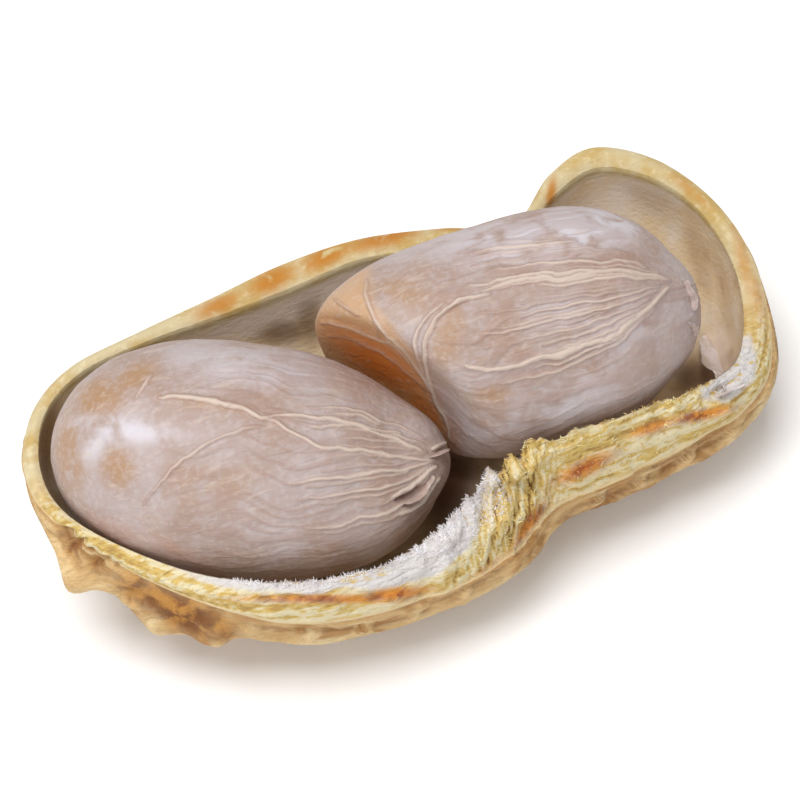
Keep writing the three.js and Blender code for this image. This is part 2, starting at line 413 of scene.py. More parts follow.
def closed_rings(rings: np.ndarray, marks: dict[str, np.ndarray]) -> Surface:
    """A closed surface of rings whose first and last ring have shrunk to a point or a line.

    Points of those two rings that lie together become one, and faces lose the corners that
    this leaves them without.

    Args:
        rings: Rings along the first axis, places round each ring along the second.
        marks: Values for the same places.

    Returns:
        The surface, closed at both ends.
    """
    rows, steps = rings.shape[:2]
    points = rings.reshape(-1, 3)
    stands_for = np.arange(len(points))
    for row in (0, rows - 1):
        ring = np.arange(row * steps, (row + 1) * steps)
        _, first, same = np.unique(
            np.round(points[ring], 4), axis=0, return_index=True, return_inverse=True
        )
        stands_for[ring] = ring[first][same.ravel()]
    kept, new_number = np.unique(stands_for, return_inverse=True)
    faces = []
    for corners in new_number.ravel()[ring_faces(rows, steps)].tolist():
        distinct = list(dict.fromkeys(corners))
        if len(distinct) > 2:
            faces.append(distinct)
    values = {name: mark.ravel()[kept] for name, mark in marks.items()}
    return Surface(points[kept], faces, values)


class Finish:
    """A procedural material under construction."""

    def __init__(self, name: str) -> None:
        """Starts a material that holds a shader and nothing else."""
        self.material = bpy.data.materials.new(name)
        self.material.use_nodes = True
        self.tree = self.material.node_tree
        self.tree.nodes.clear()
        self.output = self.node("ShaderNodeOutputMaterial")
        self.shader = self.node("ShaderNodeBsdfPrincipled")
        self.tree.links.new(self.shader.outputs["BSDF"], self.output.inputs["Surface"])
        self.place = self.node("ShaderNodeTexCoord").outputs["Object"]

    def node(self, kind: str, **settings: object) -> bpy.types.Node:
        """A new node with its settings."""
        made = self.tree.nodes.new(kind)
        for name, value in settings.items():
            setattr(made, name, value)
        return made

    def link(self, source: bpy.types.NodeSocket, target: bpy.types.NodeSocket) -> None:
        """Joins two sockets."""
        self.tree.links.new(source, target)

    def mark(self, name: str) -> bpy.types.NodeSocket:
        """A value that the mesh carries at its corners."""
        return self.node("ShaderNodeAttribute", attribute_name=name).outputs["Fac"]

    def noise(
        self,
        per_mm: float,
        detail: float = 4.0,
        stretch: Point3 = (1.0, 1.0, 1.0),
        shift: Point3 = (0.0, 0.0, 0.0),
        warp: float = 0.0,
    ) -> bpy.types.NodeSocket:
        """Soft cloudy noise.

        Args:
            per_mm: Clouds to the millimetre.
            detail: How many finer layers it has.
            stretch: Pace along each axis, beside the others.
            shift: Moves the pattern, in millimetres.
            warp: How much it is stirred.

        Returns:
            The noise value, around 0.5.
        """
        mapping = self.node("ShaderNodeMapping")
        mapping.inputs["Location"].default_value = shift
        mapping.inputs["Scale"].default_value = tuple(s / METRES_PER_MM for s in stretch)
        self.link(self.place, mapping.inputs["Vector"])
        noise = self.node("ShaderNodeTexNoise")
        noise.inputs["Scale"].default_value = per_mm
        noise.inputs["Detail"].default_value = detail
        noise.inputs["Distortion"].default_value = warp
        self.link(mapping.outputs["Vector"], noise.inputs["Vector"])
        return noise.outputs["Fac"]

    def rise(
        self, value: bpy.types.NodeSocket, start: float, end: float
    ) -> bpy.types.NodeSocket:
        """A smooth rise from 0 to 1 as the value goes from start to end."""
        ranged = self.node("ShaderNodeMapRange", interpolation_type="SMOOTHSTEP")
        ranged.inputs["From Min"].default_value = start
        ranged.inputs["From Max"].default_value = end
        self.link(value, ranged.inputs["Value"])
        return ranged.outputs["Result"]

    def math(
        self,
        operation: str,
        first: bpy.types.NodeSocket,
        second: bpy.types.NodeSocket | float,
    ) -> bpy.types.NodeSocket:
        """One sum on values."""
        made = self.node("ShaderNodeMath", operation=operation)
        self.link(first, made.inputs[0])
        if isinstance(second, (int, float)):
            made.inputs[1].default_value = second
        else:
            self.link(second, made.inputs[1])
        return made.outputs[0]

    def ramp(
        self,
        value: bpy.types.NodeSocket,
        stops: list[tuple[float, tuple[float, float, float, float]]],
        style: Ramp = Ramp.EASE,
    ) -> bpy.types.NodeSocket:
        """A colour for each value, through the stops in order."""
        made = self.node("ShaderNodeValToRGB")
        made.color_ramp.interpolation = style.value
        elements = made.color_ramp.elements
        while len(elements) < len(stops):
            elements.new(1.0)
        for element, (place, colour) in zip(elements, stops):
            element.position = place
            element.color = colour
        self.link(value, made.inputs["Fac"])
        return made.outputs["Color"]

    def mix(
        self,
        share: bpy.types.NodeSocket,
        first: bpy.types.NodeSocket | tuple[float, ...],
        second: bpy.types.NodeSocket | tuple[float, ...],
        blend: str = "MIX",
    ) -> bpy.types.NodeSocket:
        """The first colour where share is 0 and the second where it is 1."""
        made = self.node("ShaderNodeMix", data_type="RGBA", blend_type=blend)
        self.link(share, made.inputs["Factor"])
        for name, colour in (("A", first), ("B", second)):
            socket = next(s for s in made.inputs if s.name == name and s.type == "RGBA")
            if isinstance(colour, tuple):
                socket.default_value = colour
            else:
                self.link(colour, socket)
        return next(s for s in made.outputs if s.type == "RGBA")

    def bump(self, height: bpy.types.NodeSocket, depth_mm: float) -> None:
        """Fine relief of the given depth, added to the shader."""
        made = self.node("ShaderNodeBump")
        made.inputs["Strength"].default_value = 1.0
        made.inputs["Distance"].default_value = depth_mm * METRES_PER_MM
        self.link(height, made.inputs["Height"])
        self.link(made.outputs["Normal"], self.shader.inputs["Normal"])


@dataclass(frozen=True)
class ShellFinish:
    """The dry pod wall: netted skin outside, torn fibres at the near lip, pale lining inside, with painted
    shade in its grooves, between its torn strands and in its lining.
    """

    roughness: float = 0.88
    skin: tuple = srgb(208, 174, 122)
    skin_light: tuple = srgb(222, 198, 152)
    skin_deep: tuple = srgb(174, 130, 76)
    pit: tuple = srgb(118, 68, 26)
    amber: tuple = srgb(188, 132, 58)
    straw: tuple = srgb(202, 172, 98)
    cream: tuple = srgb(218, 204, 166)
    rim: tuple = srgb(200, 184, 146)
    rim_deep: tuple = srgb(188, 160, 100)
    gold: tuple = srgb(180, 118, 38)
    orange: tuple = srgb(204, 130, 46)
    # Painted shade in the gaps between the torn strands at the waist.
    strand_gap_shade: tuple = srgb(116, 78, 30)
    seam: tuple = srgb(172, 138, 76)
    # The torn lip's own rust-brown band.
    rust_and_warm_shade: tuple = srgb(146, 70, 28)
    white: tuple = srgb(206, 201, 198)
    lining: tuple = srgb(220, 196, 160)
    lining_light: tuple = srgb(226, 212, 194)
    lining_dark: tuple = srgb(160, 122, 76)
    # Painted deep shade in the lining's hollows.
    hollow: tuple = srgb(92, 60, 38)
    membrane: tuple = srgb(226, 211, 198)

    def skin_colour(self, tree: Finish) -> bpy.types.NodeSocket:
        """Tan netted skin, lighter on the ribs and brown in the pits between them."""
        relief = tree.mark("relief")
        cloud = tree.noise(0.4, 5.0, warp=0.4)
        base = tree.ramp(cloud, [(0.34, self.skin_deep), (0.5, self.skin), (0.68, self.skin_light)])
        fibre = tree.noise(1.0, 5.0, stretch=(0.3, 2.6, 2.6), warp=0.3)
        base = tree.mix(tree.math("MULTIPLY", tree.rise(fibre, 0.5, 0.7), 0.6), base, self.skin_light)
        hollow = tree.math("MULTIPLY", tree.rise(relief, 0.5, 0.02), tree.rise(cloud, 0.4, 0.62))
        base = tree.mix(hollow, base, self.skin_deep)
        # Brown marks, dark with amber streaks: a large patch low on the left, and darker brown over the
        # dents.
        blotch = tree.noise(0.9, 5.0, warp=0.6)
        brown_mark = tree.ramp(blotch, [(0.4, self.pit), (0.6, self.amber)])
        colour = tree.mix(tree.mark("brown_mark"), base, brown_mark)
        # Painted shade in the grooves, which are also cut into the skin.
        return tree.mix(tree.mark("groove"), colour, self.pit)

    def torn_colour(self, tree: Finish) -> bpy.types.NodeSocket:
        """Strands of the torn lip: white pith inside, then straw, a rust band and the skin's edge, with
        painted shade between the strands.
        """
        strand = tree.mark("strand")
        across = tree.noise(2.4, 4.0, stretch=(2.4, 0.5, 0.5), warp=0.3)
        lengthways = tree.noise(2.4, 4.0, stretch=(0.5, 1.8, 1.8), warp=0.3)
        streak = tree.mix(tree.mark("waist"), lengthways, across)
        height = tree.math("ADD", strand, tree.math("MULTIPLY", streak, 1.2))
        height = tree.math("MULTIPLY", height, 0.75)
        # Lower strands are painted darker, as painted shade between the strands.
        smooth = tree.ramp(height, [(0.56, self.seam), (0.74, self.straw), (0.9, self.cream)])
        stringy = tree.ramp(height, [(0.58, self.strand_gap_shade), (0.74, self.straw), (0.92, self.cream)])
        straw = tree.mix(tree.mark("waist"), smooth, stringy)
        white = tree.ramp(height, [(0.56, self.straw), (0.72, self.white)])
        colour = tree.mix(tree.mark("pith"), straw, white)
        rust_and_warm_shade = tree.mix(tree.rise(tree.noise(1.3, 4.0), 0.42, 0.6), self.orange, self.rust_and_warm_shade)
        colour = tree.mix(tree.mark("rust_and_warm_shade"), colour, rust_and_warm_shade)
        edge = tree.rise(tree.mark("layer"), 0.84, 0.98)
        return tree.mix(edge, colour, self.skin_light)

    def lining_colour(self, tree: Finish) -> bpy.types.NodeSocket:
        """Pale papery lining, a little mottled, with painted shade: brown in the shade of the kernels and
        dark brown deep in the hollows.
        """
        blotch = tree.noise(0.34, 4.0, warp=0.3)
        stops = [(0.24, self.lining_dark), (0.46, self.lining), (0.66, self.lining_light)]
        colour = tree.ramp(blotch, stops)
        fibre = tree.rise(tree.noise(1.2, 4.0, stretch=(0.5, 1.0, 1.8), warp=0.3), 0.5, 0.72)
        colour = tree.mix(tree.math("MULTIPLY", fibre, 0.4), colour, self.lining_light)
        colour = tree.mix(tree.mark("film"), colour, self.membrane)
        colour = tree.mix(tree.mark("shade"), colour, self.lining_dark)
        return tree.mix(tree.mark("deep_shade"), colour, self.hollow)

    def clean_colour(self, tree: Finish) -> bpy.types.NodeSocket:
        """The clean far edge: pale straw with golden patches."""
        patch = tree.ramp(tree.noise(0.5, 4.0, warp=0.3), [(0.4, self.rim), (0.64, self.rim_deep)])
        broken = tree.rise(tree.noise(1.1, 5.0, warp=0.4), 0.26, 0.46)
        gilt = tree.math("MULTIPLY", tree.mark("gild"), broken)
        speck = tree.rise(tree.noise(2.4, 4.0), 0.5, 0.7)
        pale = tree.mix(tree.math("MULTIPLY", speck, 0.5), patch, self.cream)
        return tree.mix(gilt, pale, self.gold)

    def make(self) -> bpy.types.Material:
        """Builds the material."""
        tree = Finish("shell_finish")
        inside = tree.mix(tree.mark("inside"), self.skin_colour(tree), self.lining_colour(tree))
        edged = tree.mix(tree.mark("clean"), inside, self.clean_colour(tree))
        colour = tree.mix(tree.mark("torn"), edged, self.torn_colour(tree))
        tree.link(colour, tree.shader.inputs["Base Color"])
        tree.shader.inputs["Roughness"].default_value = self.roughness
        relief = tree.noise(3.2, 6.0, stretch=(0.6, 1.4, 1.4), warp=0.5)
        tree.bump(tree.math("MULTIPLY", relief, tree.mark("coarse")), 0.22)
        return tree.material


@dataclass(frozen=True)
class SkinFinish:
    """The kernels' papery skin: pinkish white, tan where it is rubbed, paler veins, with a painted
    highlight on the right kernel's top, painted shade in the folds and beside the veins, and painted
    orange-brown shade where the kernels meet.

    Attributes:
        name: The material's name.
        yaw: How the kernel's length is turned, in radians, for the run of the finest folds.
    """

    name: str
    yaw: float
    roughness: float = 0.6
    pink: tuple = srgb(160, 136, 125)
    # Whitish bloom and specks of the skin, also the painted highlight on the right kernel's top.
    lilac: tuple = srgb(172, 156, 152)
    frost_and_highlight: tuple = srgb(200, 194, 200)
    tan: tuple = srgb(162, 127, 94)
    # Painted shade beside the raised veins.
    crease_shade: tuple = srgb(150, 119, 105)
    vein: tuple = srgb(200, 182, 168)
    gold: tuple = srgb(190, 151, 110)
    # Painted orange-brown shade where the kernels meet and along the left kernel's lower edge.
    rust_and_warm_shade: tuple = srgb(208, 118, 40)
    # Painted shade in the folds.
    fold_shade: tuple = srgb(124, 88, 72)

    def folds(self, tree: Finish) -> bpy.types.NodeSocket:
        """The finest folds, which run along the kernel."""
        mapping = tree.node("ShaderNodeMapping")
        mapping.inputs["Rotation"].default_value = (0.0, 0.0, -self.yaw)
        mapping.inputs["Scale"].default_value = tuple(s / METRES_PER_MM for s in (0.22, 1.0, 1.0))
        tree.link(tree.place, mapping.inputs["Vector"])
        noise = tree.node("ShaderNodeTexNoise")
        noise.inputs["Scale"].default_value = 3.0
        noise.inputs["Detail"].default_value = 5.0
        noise.inputs["Distortion"].default_value = 0.6
        tree.link(mapping.outputs["Vector"], noise.inputs["Vector"])
        return noise.outputs["Fac"]

    def make(self) -> bpy.types.Material:
        """Builds the material."""
        tree = Finish(self.name)
        folds = self.folds(tree)
        cloud = tree.noise(0.32, 4.0, warp=0.3)
        colour = tree.ramp(cloud, [(0.36, self.pink), (0.64, self.lilac)])
        rubbed = tree.rise(tree.noise(0.42, 5.0, shift=(3.0, 5.0, 1.0), warp=0.5), 0.5, 0.7)
        colour = tree.mix(tree.math("MULTIPLY", rubbed, 0.3), colour, self.tan)
        broken = tree.rise(tree.noise(0.8, 4.0, warp=0.3), 0.26, 0.48)
        colour = tree.mix(tree.math("MULTIPLY", tree.mark("tan"), broken), colour, self.tan)
        # A whitish bloom on the skin; over the right kernel's top it is a painted highlight.
        wisp = tree.rise(tree.noise(0.7, 5.0, warp=0.4), 0.34, 0.56)
        bloom_and_highlight = tree.math("MULTIPLY", tree.mark("bloom_and_highlight"), wisp)
        colour = tree.mix(bloom_and_highlight, colour, self.frost_and_highlight)
        speckle = tree.rise(tree.noise(3.4, 3.0, shift=(1.0, 2.0, 3.0)), 0.46, 0.64)
        colour = tree.mix(tree.math("MULTIPLY", speckle, 0.16), colour, self.frost_and_highlight)
        colour = tree.mix(tree.mark("gold"), colour, self.gold)
        # Painted orange-brown shade where the kernels meet and along the left kernel's lower edge.
        colour = tree.mix(tree.mark("rust_and_warm_shade"), colour, self.rust_and_warm_shade)
        fine_line = tree.math("MULTIPLY", tree.rise(folds, 0.56, 0.7), 0.35)
        colour = tree.mix(fine_line, colour, self.vein)
        # Painted shade beside the raised veins.
        flank = tree.math("MULTIPLY", tree.rise(tree.mark("vein"), 0.04, 0.24), 0.35)
        colour = tree.mix(flank, colour, self.crease_shade)
        crest = tree.math("MULTIPLY", tree.rise(tree.mark("vein"), 0.3, 0.9), 0.85)
        colour = tree.mix(crest, colour, self.vein)
        # Painted shade in the folds, which are also cut into the skin.
        colour = tree.mix(tree.mark("crease_shade"), colour, self.fold_shade)
        tree.link(colour, tree.shader.inputs["Base Color"])
        tree.shader.inputs["Roughness"].default_value = self.roughness
        tree.shader.inputs["Subsurface Weight"].default_value = 0.06
        tree.shader.inputs["Subsurface Scale"].default_value = 0.001
        tree.bump(folds, 0.08)
        return tree.material


@dataclass(frozen=True)
class FibreFinish:
    """Loose fibres torn out of the pod wall."""

    name: str
    light: tuple
    dark: tuple
    roughness: float = 0.9

    def make(self) -> bpy.types.Material:
        """Builds the material."""
        tree = Finish(self.name)
        cloud = tree.noise(1.2, 3.0)
        tree.link(
            tree.ramp(cloud, [(0.38, self.dark), (0.6, self.light)]),
            tree.shader.inputs["Base Color"],
        )
        tree.shader.inputs["Roughness"].default_value = self.roughness
        tree.bump(tree.noise(9.0, 3.0), 0.02)
        return tree.material


def finish_piece(piece: bpy.types.Object, material: bpy.types.Material) -> None:
    """Dresses a piece and lets it ride on the only body."""
    piece.data.materials.clear()
    piece.data.materials.append(material)
    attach(piece, ROOT)


def smooth_through(rows: np.ndarray, place: np.ndarray) -> np.ndarray:
    """A smooth curve through the rows of a table that has one extra row at each end.

    Args:
        rows: The table, one station a row.
        place: Where along the stations to read it.

    Returns:
        One row for each place.
    """
    first = np.minimum(np.floor(place).astype(int), len(rows) - 4)
    t = (place - first)[:, None]
    a, b, c, d = (rows[first + step] for step in range(4))
    slope = (c - a) * t
    bend = (2 * a - 5 * b + 4 * c - d) * t**2
    twist = (3 * b - a - 3 * c + d) * t**3
    return b + 0.5 * (slope + bend + twist)


@dataclass(frozen=True)
class Station:
    """One section of the pod wall: its far and near edge points, and how deep it hangs."""

    far: Point3
    near: Point3
    depth: float


OUTER_STATIONS = [
    Station((-18.0, 1.2, 1.3), (-18.0, 1.2, 1.3), 0.0),
    Station((-16.9, 4.5, 1.3), (-17.2, -1.8, 1.2), 3.6),
    Station((-14.5, 6.5, 1.3), (-14.6, -5.0, 0.5), 6.2),
    Station((-10.9, 7.4, 1.2), (-11.6, -7.6, -0.2), 7.3),
    Station((-6.9, 8.1, 1.2), (-8.1, -9.1, -1.6), 7.4),
    Station((-3.1, 8.8, 1.2), (-4.3, -9.6, -2.1), 7.1),
    Station((0.9, 9.0, 1.1), (-0.4, -9.5, -2.3), 6.3),
    Station((4.9, 8.4, 0.8), (2.9, -8.8, -2.2), 5.8),
    Station((8.3, 7.5, 0.6), (5.2, -7.3, -1.8), 5.5),
    Station((10.9, 9.3, 1.2), (8.5, -6.8, -2.0), 6.1),
    Station((13.5, 9.9, 1.5), (11.9, -6.2, -2.0), 6.9),
    Station((16.3, 8.0, 1.3), (15.2, -5.4, -1.9), 6.0),
    Station((18.1, 4.4, 1.0), (17.6, -3.5, -1.3), 3.4),
    Station((18.6, 0.6, 0.0), (18.6, 0.6, 0.0), 0.0),
]
INNER_STATIONS = [
    Station((-17.2, 1.1, 1.5), (-17.2, 1.1, 1.5), 0.0),
    Station((-16.3, 4.1, 1.5), (-16.5, -1.7, 1.4), 3.1),
    Station((-14.0, 5.9, 1.5), (-13.9, -4.7, 1.2), 5.3),
    Station((-10.5, 6.6, 1.4), (-11.0, -6.9, 1.0), 6.1),
    Station((-6.6, 6.9, 1.3), (-7.6, -8.3, 0.8), 6.6),
    Station((-2.9, 7.3, 1.2), (-4.0, -8.7, 0.5), 6.7),
    Station((0.7, 7.7, 1.2), (-1.2, -8.0, 0.5), 6.3),
    Station((4.5, 7.1, 0.9), (1.7, -6.8, 1.1), 5.5),
    Station((7.7, 6.2, 0.7), (4.1, -6.2, 2.3), 5.4),
    Station((10.6, 8.0, 1.1), (7.2, -6.0, 2.3), 6.0),
    Station((13.2, 8.7, 1.4), (10.7, -5.5, 1.7), 6.4),
    Station((15.7, 7.0, 1.3), (13.7, -4.6, 0.6), 5.8),
    Station((17.2, 4.1, 0.9), (16.0, -3.2, 0.0), 3.8),
    Station((17.5, 0.6, 0.0), (17.5, 0.6, 0.0), 0.0),
]
LAST_STATION = len(OUTER_STATIONS) - 1


@dataclass
class Wall:
    """One side of the pod wall, as a smooth surface over place and round.

    Attributes:
        stations: The sections from the left tip to the right one.
        near_power: How full the near half of a section is; 2 is an ellipse.
        far_power: The same for the far half.
    """

    stations: list[Station]
    near_power: float
    far_power: float

    def rails(self) -> tuple[np.ndarray, np.ndarray, np.ndarray]:
        """Tables of the far edge, the near edge and the depth, carried on round each tip."""
        far = np.array([station.far for station in self.stations])
        near = np.array([station.near for station in self.stations])
        depth = np.array([[station.depth] for station in self.stations])
        far_rows = np.vstack([near[1], far, near[-2]])
        near_rows = np.vstack([far[1], near, far[-2]])
        depth_rows = np.vstack([-depth[1], depth, -depth[-2]])
        return far_rows, near_rows, depth_rows

    def points(self, place: np.ndarray, turn: np.ndarray) -> np.ndarray:
        """Places on the wall.

        Args:
            place: Stations along the pod.
            turn: Places round a section, from 0 at the near edge to 1 at the far edge.

        Returns:
            Points on a grid, stations first.
        """
        far_rows, near_rows, depth_rows = self.rails()
        far = smooth_through(far_rows, place)[:, None, :]
        near = smooth_through(near_rows, place)[:, None, :]
        depth = smooth_through(depth_rows, place)
        power = 2.0 / np.where(turn < 0.5, self.near_power, self.far_power)
        cosine = np.cos(turn * np.pi)
        across = -np.sign(cosine) * np.abs(cosine) ** power
        down = np.abs(np.sin(turn * np.pi)) ** power
        grid = near + (far - near) * ((across + 1.0) / 2.0)[None, :, None]
        grid[..., 2] -= depth * down[None, :]
        return grid

    def faced(self, place: np.ndarray, turn: np.ndarray) -> tuple[np.ndarray, np.ndarray]:
        """Works out the wall and the way that it faces.

        Args:
            place: Stations along the pod.
            turn: Places round a section.

        Returns:
            Points on a grid, stations first, and the outward direction at each.
        """
        points = self.points(place, turn)
        ahead = self.points(place + PROBE, turn)
        beside = self.points(place, turn + PROBE)
        return points, unit(np.cross(beside - points, ahead - points))


@dataclass
class Net:
    """The raised net of ribs and slanted links on the outside of the pod."""

    lanes: int = 9
    height: float = 0.38
    rib_width: float = 0.15
    link_pitch: float = 2.5
    link_width: float = 0.15
    link_height: float = 0.75
    link_slant: float = 0.3
    link_offset: float = 0.37
    edge_fade: float = 0.05
    tip_fade: float = 0.9

    def relief(self, along: np.ndarray, turn: np.ndarray) -> np.ndarray:
        """Height of the net, from 0 between its strands to 1 on a rib."""
        slow = 0.16 * np.sin(along * 0.55 + 1.3)
        quick = 0.1 * np.sin(along * 1.4 + turn * 7)
        lane = turn * self.lanes + slow + quick
        index = np.floor(lane)
        across = lane - index - 0.5
        rib = bell(0.5 - np.abs(across), self.rib_width)
        slant = np.where(index % 2 == 0, self.link_slant, -self.link_slant)
        link = along / self.link_pitch + self.link_offset * index + slant * across
        gap = np.abs(link - np.round(link))
        return np.maximum(rib, self.link_height * bell(gap, self.link_width))

    def fade(self, place: np.ndarray, turn: np.ndarray) -> np.ndarray:
        """How much of the net is left near the lips and the tips."""
        tip = np.minimum(place, LAST_STATION - place) / self.tip_fade
        edge = np.minimum(turn, 1.0 - turn) / self.edge_fade
        return np.minimum(tip, 1.0)[:, None] * np.minimum(edge, 1.0)[None, :]


@dataclass(frozen=True)
class Lump:
    """A larger swelling of the outside, placed along the pod and round the section."""

    along: float
    turn: float
    length: float
    spread: float
    height: float

    def relief(self, along: np.ndarray, turn: np.ndarray) -> np.ndarray:
        """Its height at each place, in millimetres."""
        a = (along - self.along) / self.length
        b = (turn - self.turn) / self.spread
        return self.height * np.exp(-(a**2) - b**2)


@dataclass
class Shell:
    """The half pod, from its netted outside over both lips to its lining."""

    rows: int = 360
    outer_steps: int = 120
    inner_steps: int = 60
    lip_steps: int = 36
    sparsest: float = 0.09
    crowding: float = 0.45
    far_rounding: float = 0.22
    near_rounding: float = 0.4
    rest_height: float = -7.3
    outer: Wall = field(default_factory=lambda: Wall(OUTER_STATIONS, 1.8, 2.25))
    inner: Wall = field(default_factory=lambda: Wall(INNER_STATIONS, 2.25, 2.1))
    net: Net = field(default_factory=Net)
    lumps: tuple[Lump, ...] = (
        Lump(-16.3, 0.17, 0.75, 0.08, 1.5),
        Lump(-13.6, 0.17, 1.6, 0.08, 1.3),
        Lump(-11.5, 0.15, 0.8, 0.07, 0.9),
        Lump(-13.2, 0.1, 1.9, 0.022, -0.5),
    )
    scraps: tuple["Scrap", ...] = ()
    grain: Grain = Grain(3)
    dent_depth: float = 0.4
    groove_depth: float = 0.22
    grooves: tuple[Stroke, ...] = (
        Stroke([(590, 505), (640, 482), (690, 456), (742, 424)], 2.2, 1.0),
        Stroke([(556, 524), (600, 506), (634, 492)], 1.8, 0.8),
        Stroke([(636, 474), (668, 462), (706, 440), (728, 424)], 1.8, 0.8),
        Stroke([(430, 604), (480, 584), (522, 554), (540, 530)], 1.8, 0.7),
        Stroke([(236, 624), (300, 632), (380, 626), (430, 610)], 2.0, 0.8),
        Stroke([(250, 612), (310, 616), (380, 612), (440, 598)], 1.6, 0.6),
        Stroke([(60, 516), (72, 540), (80, 562)], 2.2, 1.0),
        Stroke([(84, 532), (94, 552), (98, 574)], 2.0, 0.9),
        Stroke([(104, 544), (114, 556), (120, 572)], 1.8, 0.8),
        Stroke([(110, 590), (150, 606), (200, 634), (226, 642)], 2.2, 0.8),
    )
    dents: tuple[Patch, ...] = (
        Patch((76, 545), (13, 4), -48, 1.0),
        Patch((63, 533), (8, 5), 40, 0.7),
        Patch((100, 562), (12, 4), -25, 0.6),
        Patch((109, 549), (8, 3), -15, 0.5),
        Patch((70, 560), (6, 12), 20, 0.8),
        Patch((116, 600), (5, 12), 10, 0.8),
        Patch((668, 447), (22, 4), -22, 0.6),
        Patch((600, 497), (34, 3), -24, 0.5),
    )
    # Brown marks: a large patch low on the left, and darker brown over the dents.
    brown_marks: tuple[Patch, ...] = (
        Patch((180, 610), (64, 18), 26, 1.0),
        Patch((136, 590), (30, 16), 30, 0.8),
        Patch((222, 630), (20, 10), 30, 0.8),
        Patch((76, 545), (16, 4), -42, 0.9),
        Patch((62, 532), (10, 5), 40, 0.6),
        Patch((98, 562), (12, 4), -25, 0.7),
        Patch((108, 549), (8, 3), -15, 0.6),
        Patch((668, 447), (22, 4), -22, 0.7),
        Patch((600, 497), (34, 3), -24, 0.6),
        Patch((560, 520), (14, 4), -20, 0.5),
    )
    # The torn lip's own rust-coloured band.
    rust_and_shade_patches: tuple[Patch, ...] = (
        Patch((330, 599), (95, 5), 0, 0.9),
        Patch((395, 594), (36, 7), -6, 1.0),
        Patch((490, 572), (42, 7), -36, 1.0),
        Patch((530, 528), (30, 9), -58, 1.0),
        Patch((585, 468), (34, 9), -26, 1.0),
        Patch((652, 428), (24, 6), -18, 0.9),
        Patch((702, 415), (34, 6), -12, 1.0),
    )
    shades: tuple[Patch, ...] = (
        Patch((290, 332), (40, 12), -8, 0.6),
        Patch((48, 440), (14, 60), 0, 0.9),
        Patch((652, 200), (30, 12), 30, 0.4),
        Patch((698, 258), (9, 36), -16, 0.4),
        Patch((726, 300), (8, 40), -10, 0.35),
        Patch((120, 525), (110, 14), 24, 0.8),
        Patch((700, 378), (26, 24), 0, 0.6),
    )
    films: tuple[Patch, ...] = (
        Patch((714, 362), (16, 40), 10, 0.8),
        Patch((735, 385), (30, 30), 0, 0.7),
        Patch((250, 322), (70, 9), -18, 0.6),
        Patch((602, 206), (44, 20), -20, 0.7),
        Patch((345, 276), (80, 14), -26, 0.9),
    )
    # Painted deep shade: between the left kernel's tip and the waist, behind the left kernel and beside
    # the right tip.
    painted_deep_shades: tuple[Patch, ...] = (
        Patch((448, 486), (34, 60), 10, 1.0),
        Patch((284, 332), (26, 12), -8, 0.6),
        Patch((310, 320), (16, 22), 0, 0.6),
        Patch((692, 376), (18, 16), 0, 0.7),
    )
    gilds: tuple[Patch, ...] = (
        Patch((218, 306), (26, 9), -24, 0.9),
        Patch((272, 280), (26, 12), -28, 1.0),
        Patch((326, 256), (30, 11), -26, 1.0),
        Patch((384, 238), (40, 10), -14, 1.0),
        Patch((758, 300), (6, 26), -12, 0.7),
        Patch((690, 190), (26, 6), 40, 0.5),
        Patch((460, 226), (40, 5), -4, 0.7),
        Patch((551, 194), (5, 18), 10, 0.95),
        Patch((744, 262), (7, 50), -14, 0.5),
    )
    cottons: tuple[Patch, ...] = (
        Patch((420, 552), (58, 30), -24, 1.0),
        Patch((462, 500), (40, 14), -64, 0.9),
        Patch((738, 380), (36, 44), 0, 0.9),
    )
    knobs: tuple[Patch, ...] = (
        Patch((404, 534), (16, 11), -10, 1.0),
        Patch((446, 534), (18, 9), -50, 0.5),
        Patch((512, 468), (30, 8), -22, 0.9),
        Patch((500, 520), (26, 12), -50, 0.5),
    )
    knob_height: float = 0.8
    waist_at: float = 2.6
    waist_reach: float = 3.6
    girth: float = 24.0
    fine_height: float = 0.07
    fine_pace: Point3 = (0.7, 1.6, 1.0)
    strand_pace: Point3 = (0.35, 1.6, 1.0)
    pit_depth: float = 0.1
    pit_pace: float = 0.9
    seen: Point2 = (0.0, 0.25)
    lining_height: float = 0.03
    lining_pace: float = 1.3
    edge_calm: float = 0.05
    tip_calm: float = 0.5
    jag_lean: Point3 = (0.0, 0.3, 1.0)
    groove_shade: float = 0.7

    def outside(self, place: np.ndarray, turn: np.ndarray) -> tuple[np.ndarray, np.ndarray]:
        """The netted outside and its relief value, on a grid."""
        points, outward = self.outer.faced(place, turn)
        along = points[..., 0]
        turns = np.broadcast_to(turn[None, :], along.shape)
        relief = self.net.relief(along, turns)
        fade = self.net.fade(place, turn)
        height = self.net.height * relief
        for lump in self.lumps:
            height = height + lump.relief(along, turns)
        spread = np.stack([along, turns * self.girth, np.zeros_like(along)], axis=-1)
        fine = self.fine_height * self.grain.layered(spread, self.fine_pace)
        strands = self.fine_height * self.grain.ridged(spread, self.strand_pace)
        pits = np.clip(self.grain.value(spread + 31.0, self.pit_pace), 0.0, 1.0)
        pits = -self.pit_depth * pits * (1.0 - relief)
        height = height + fine + strands + pits
        picture = PHOTO.project(points + outward * (fade * height)[..., None])
        seen = smoothstep(PHOTO.seen_share(points, outward), *self.seen)
        dents = self.dent_depth * patches_over(self.dents, picture) * seen
        dents = dents + self.groove_depth * strokes_over(self.grooves, picture) * seen
        raised = points + outward * (fade * height - dents)[..., None]
        raised[..., 2] = np.maximum(raised[..., 2], self.rest_height)
        return raised, relief * fade

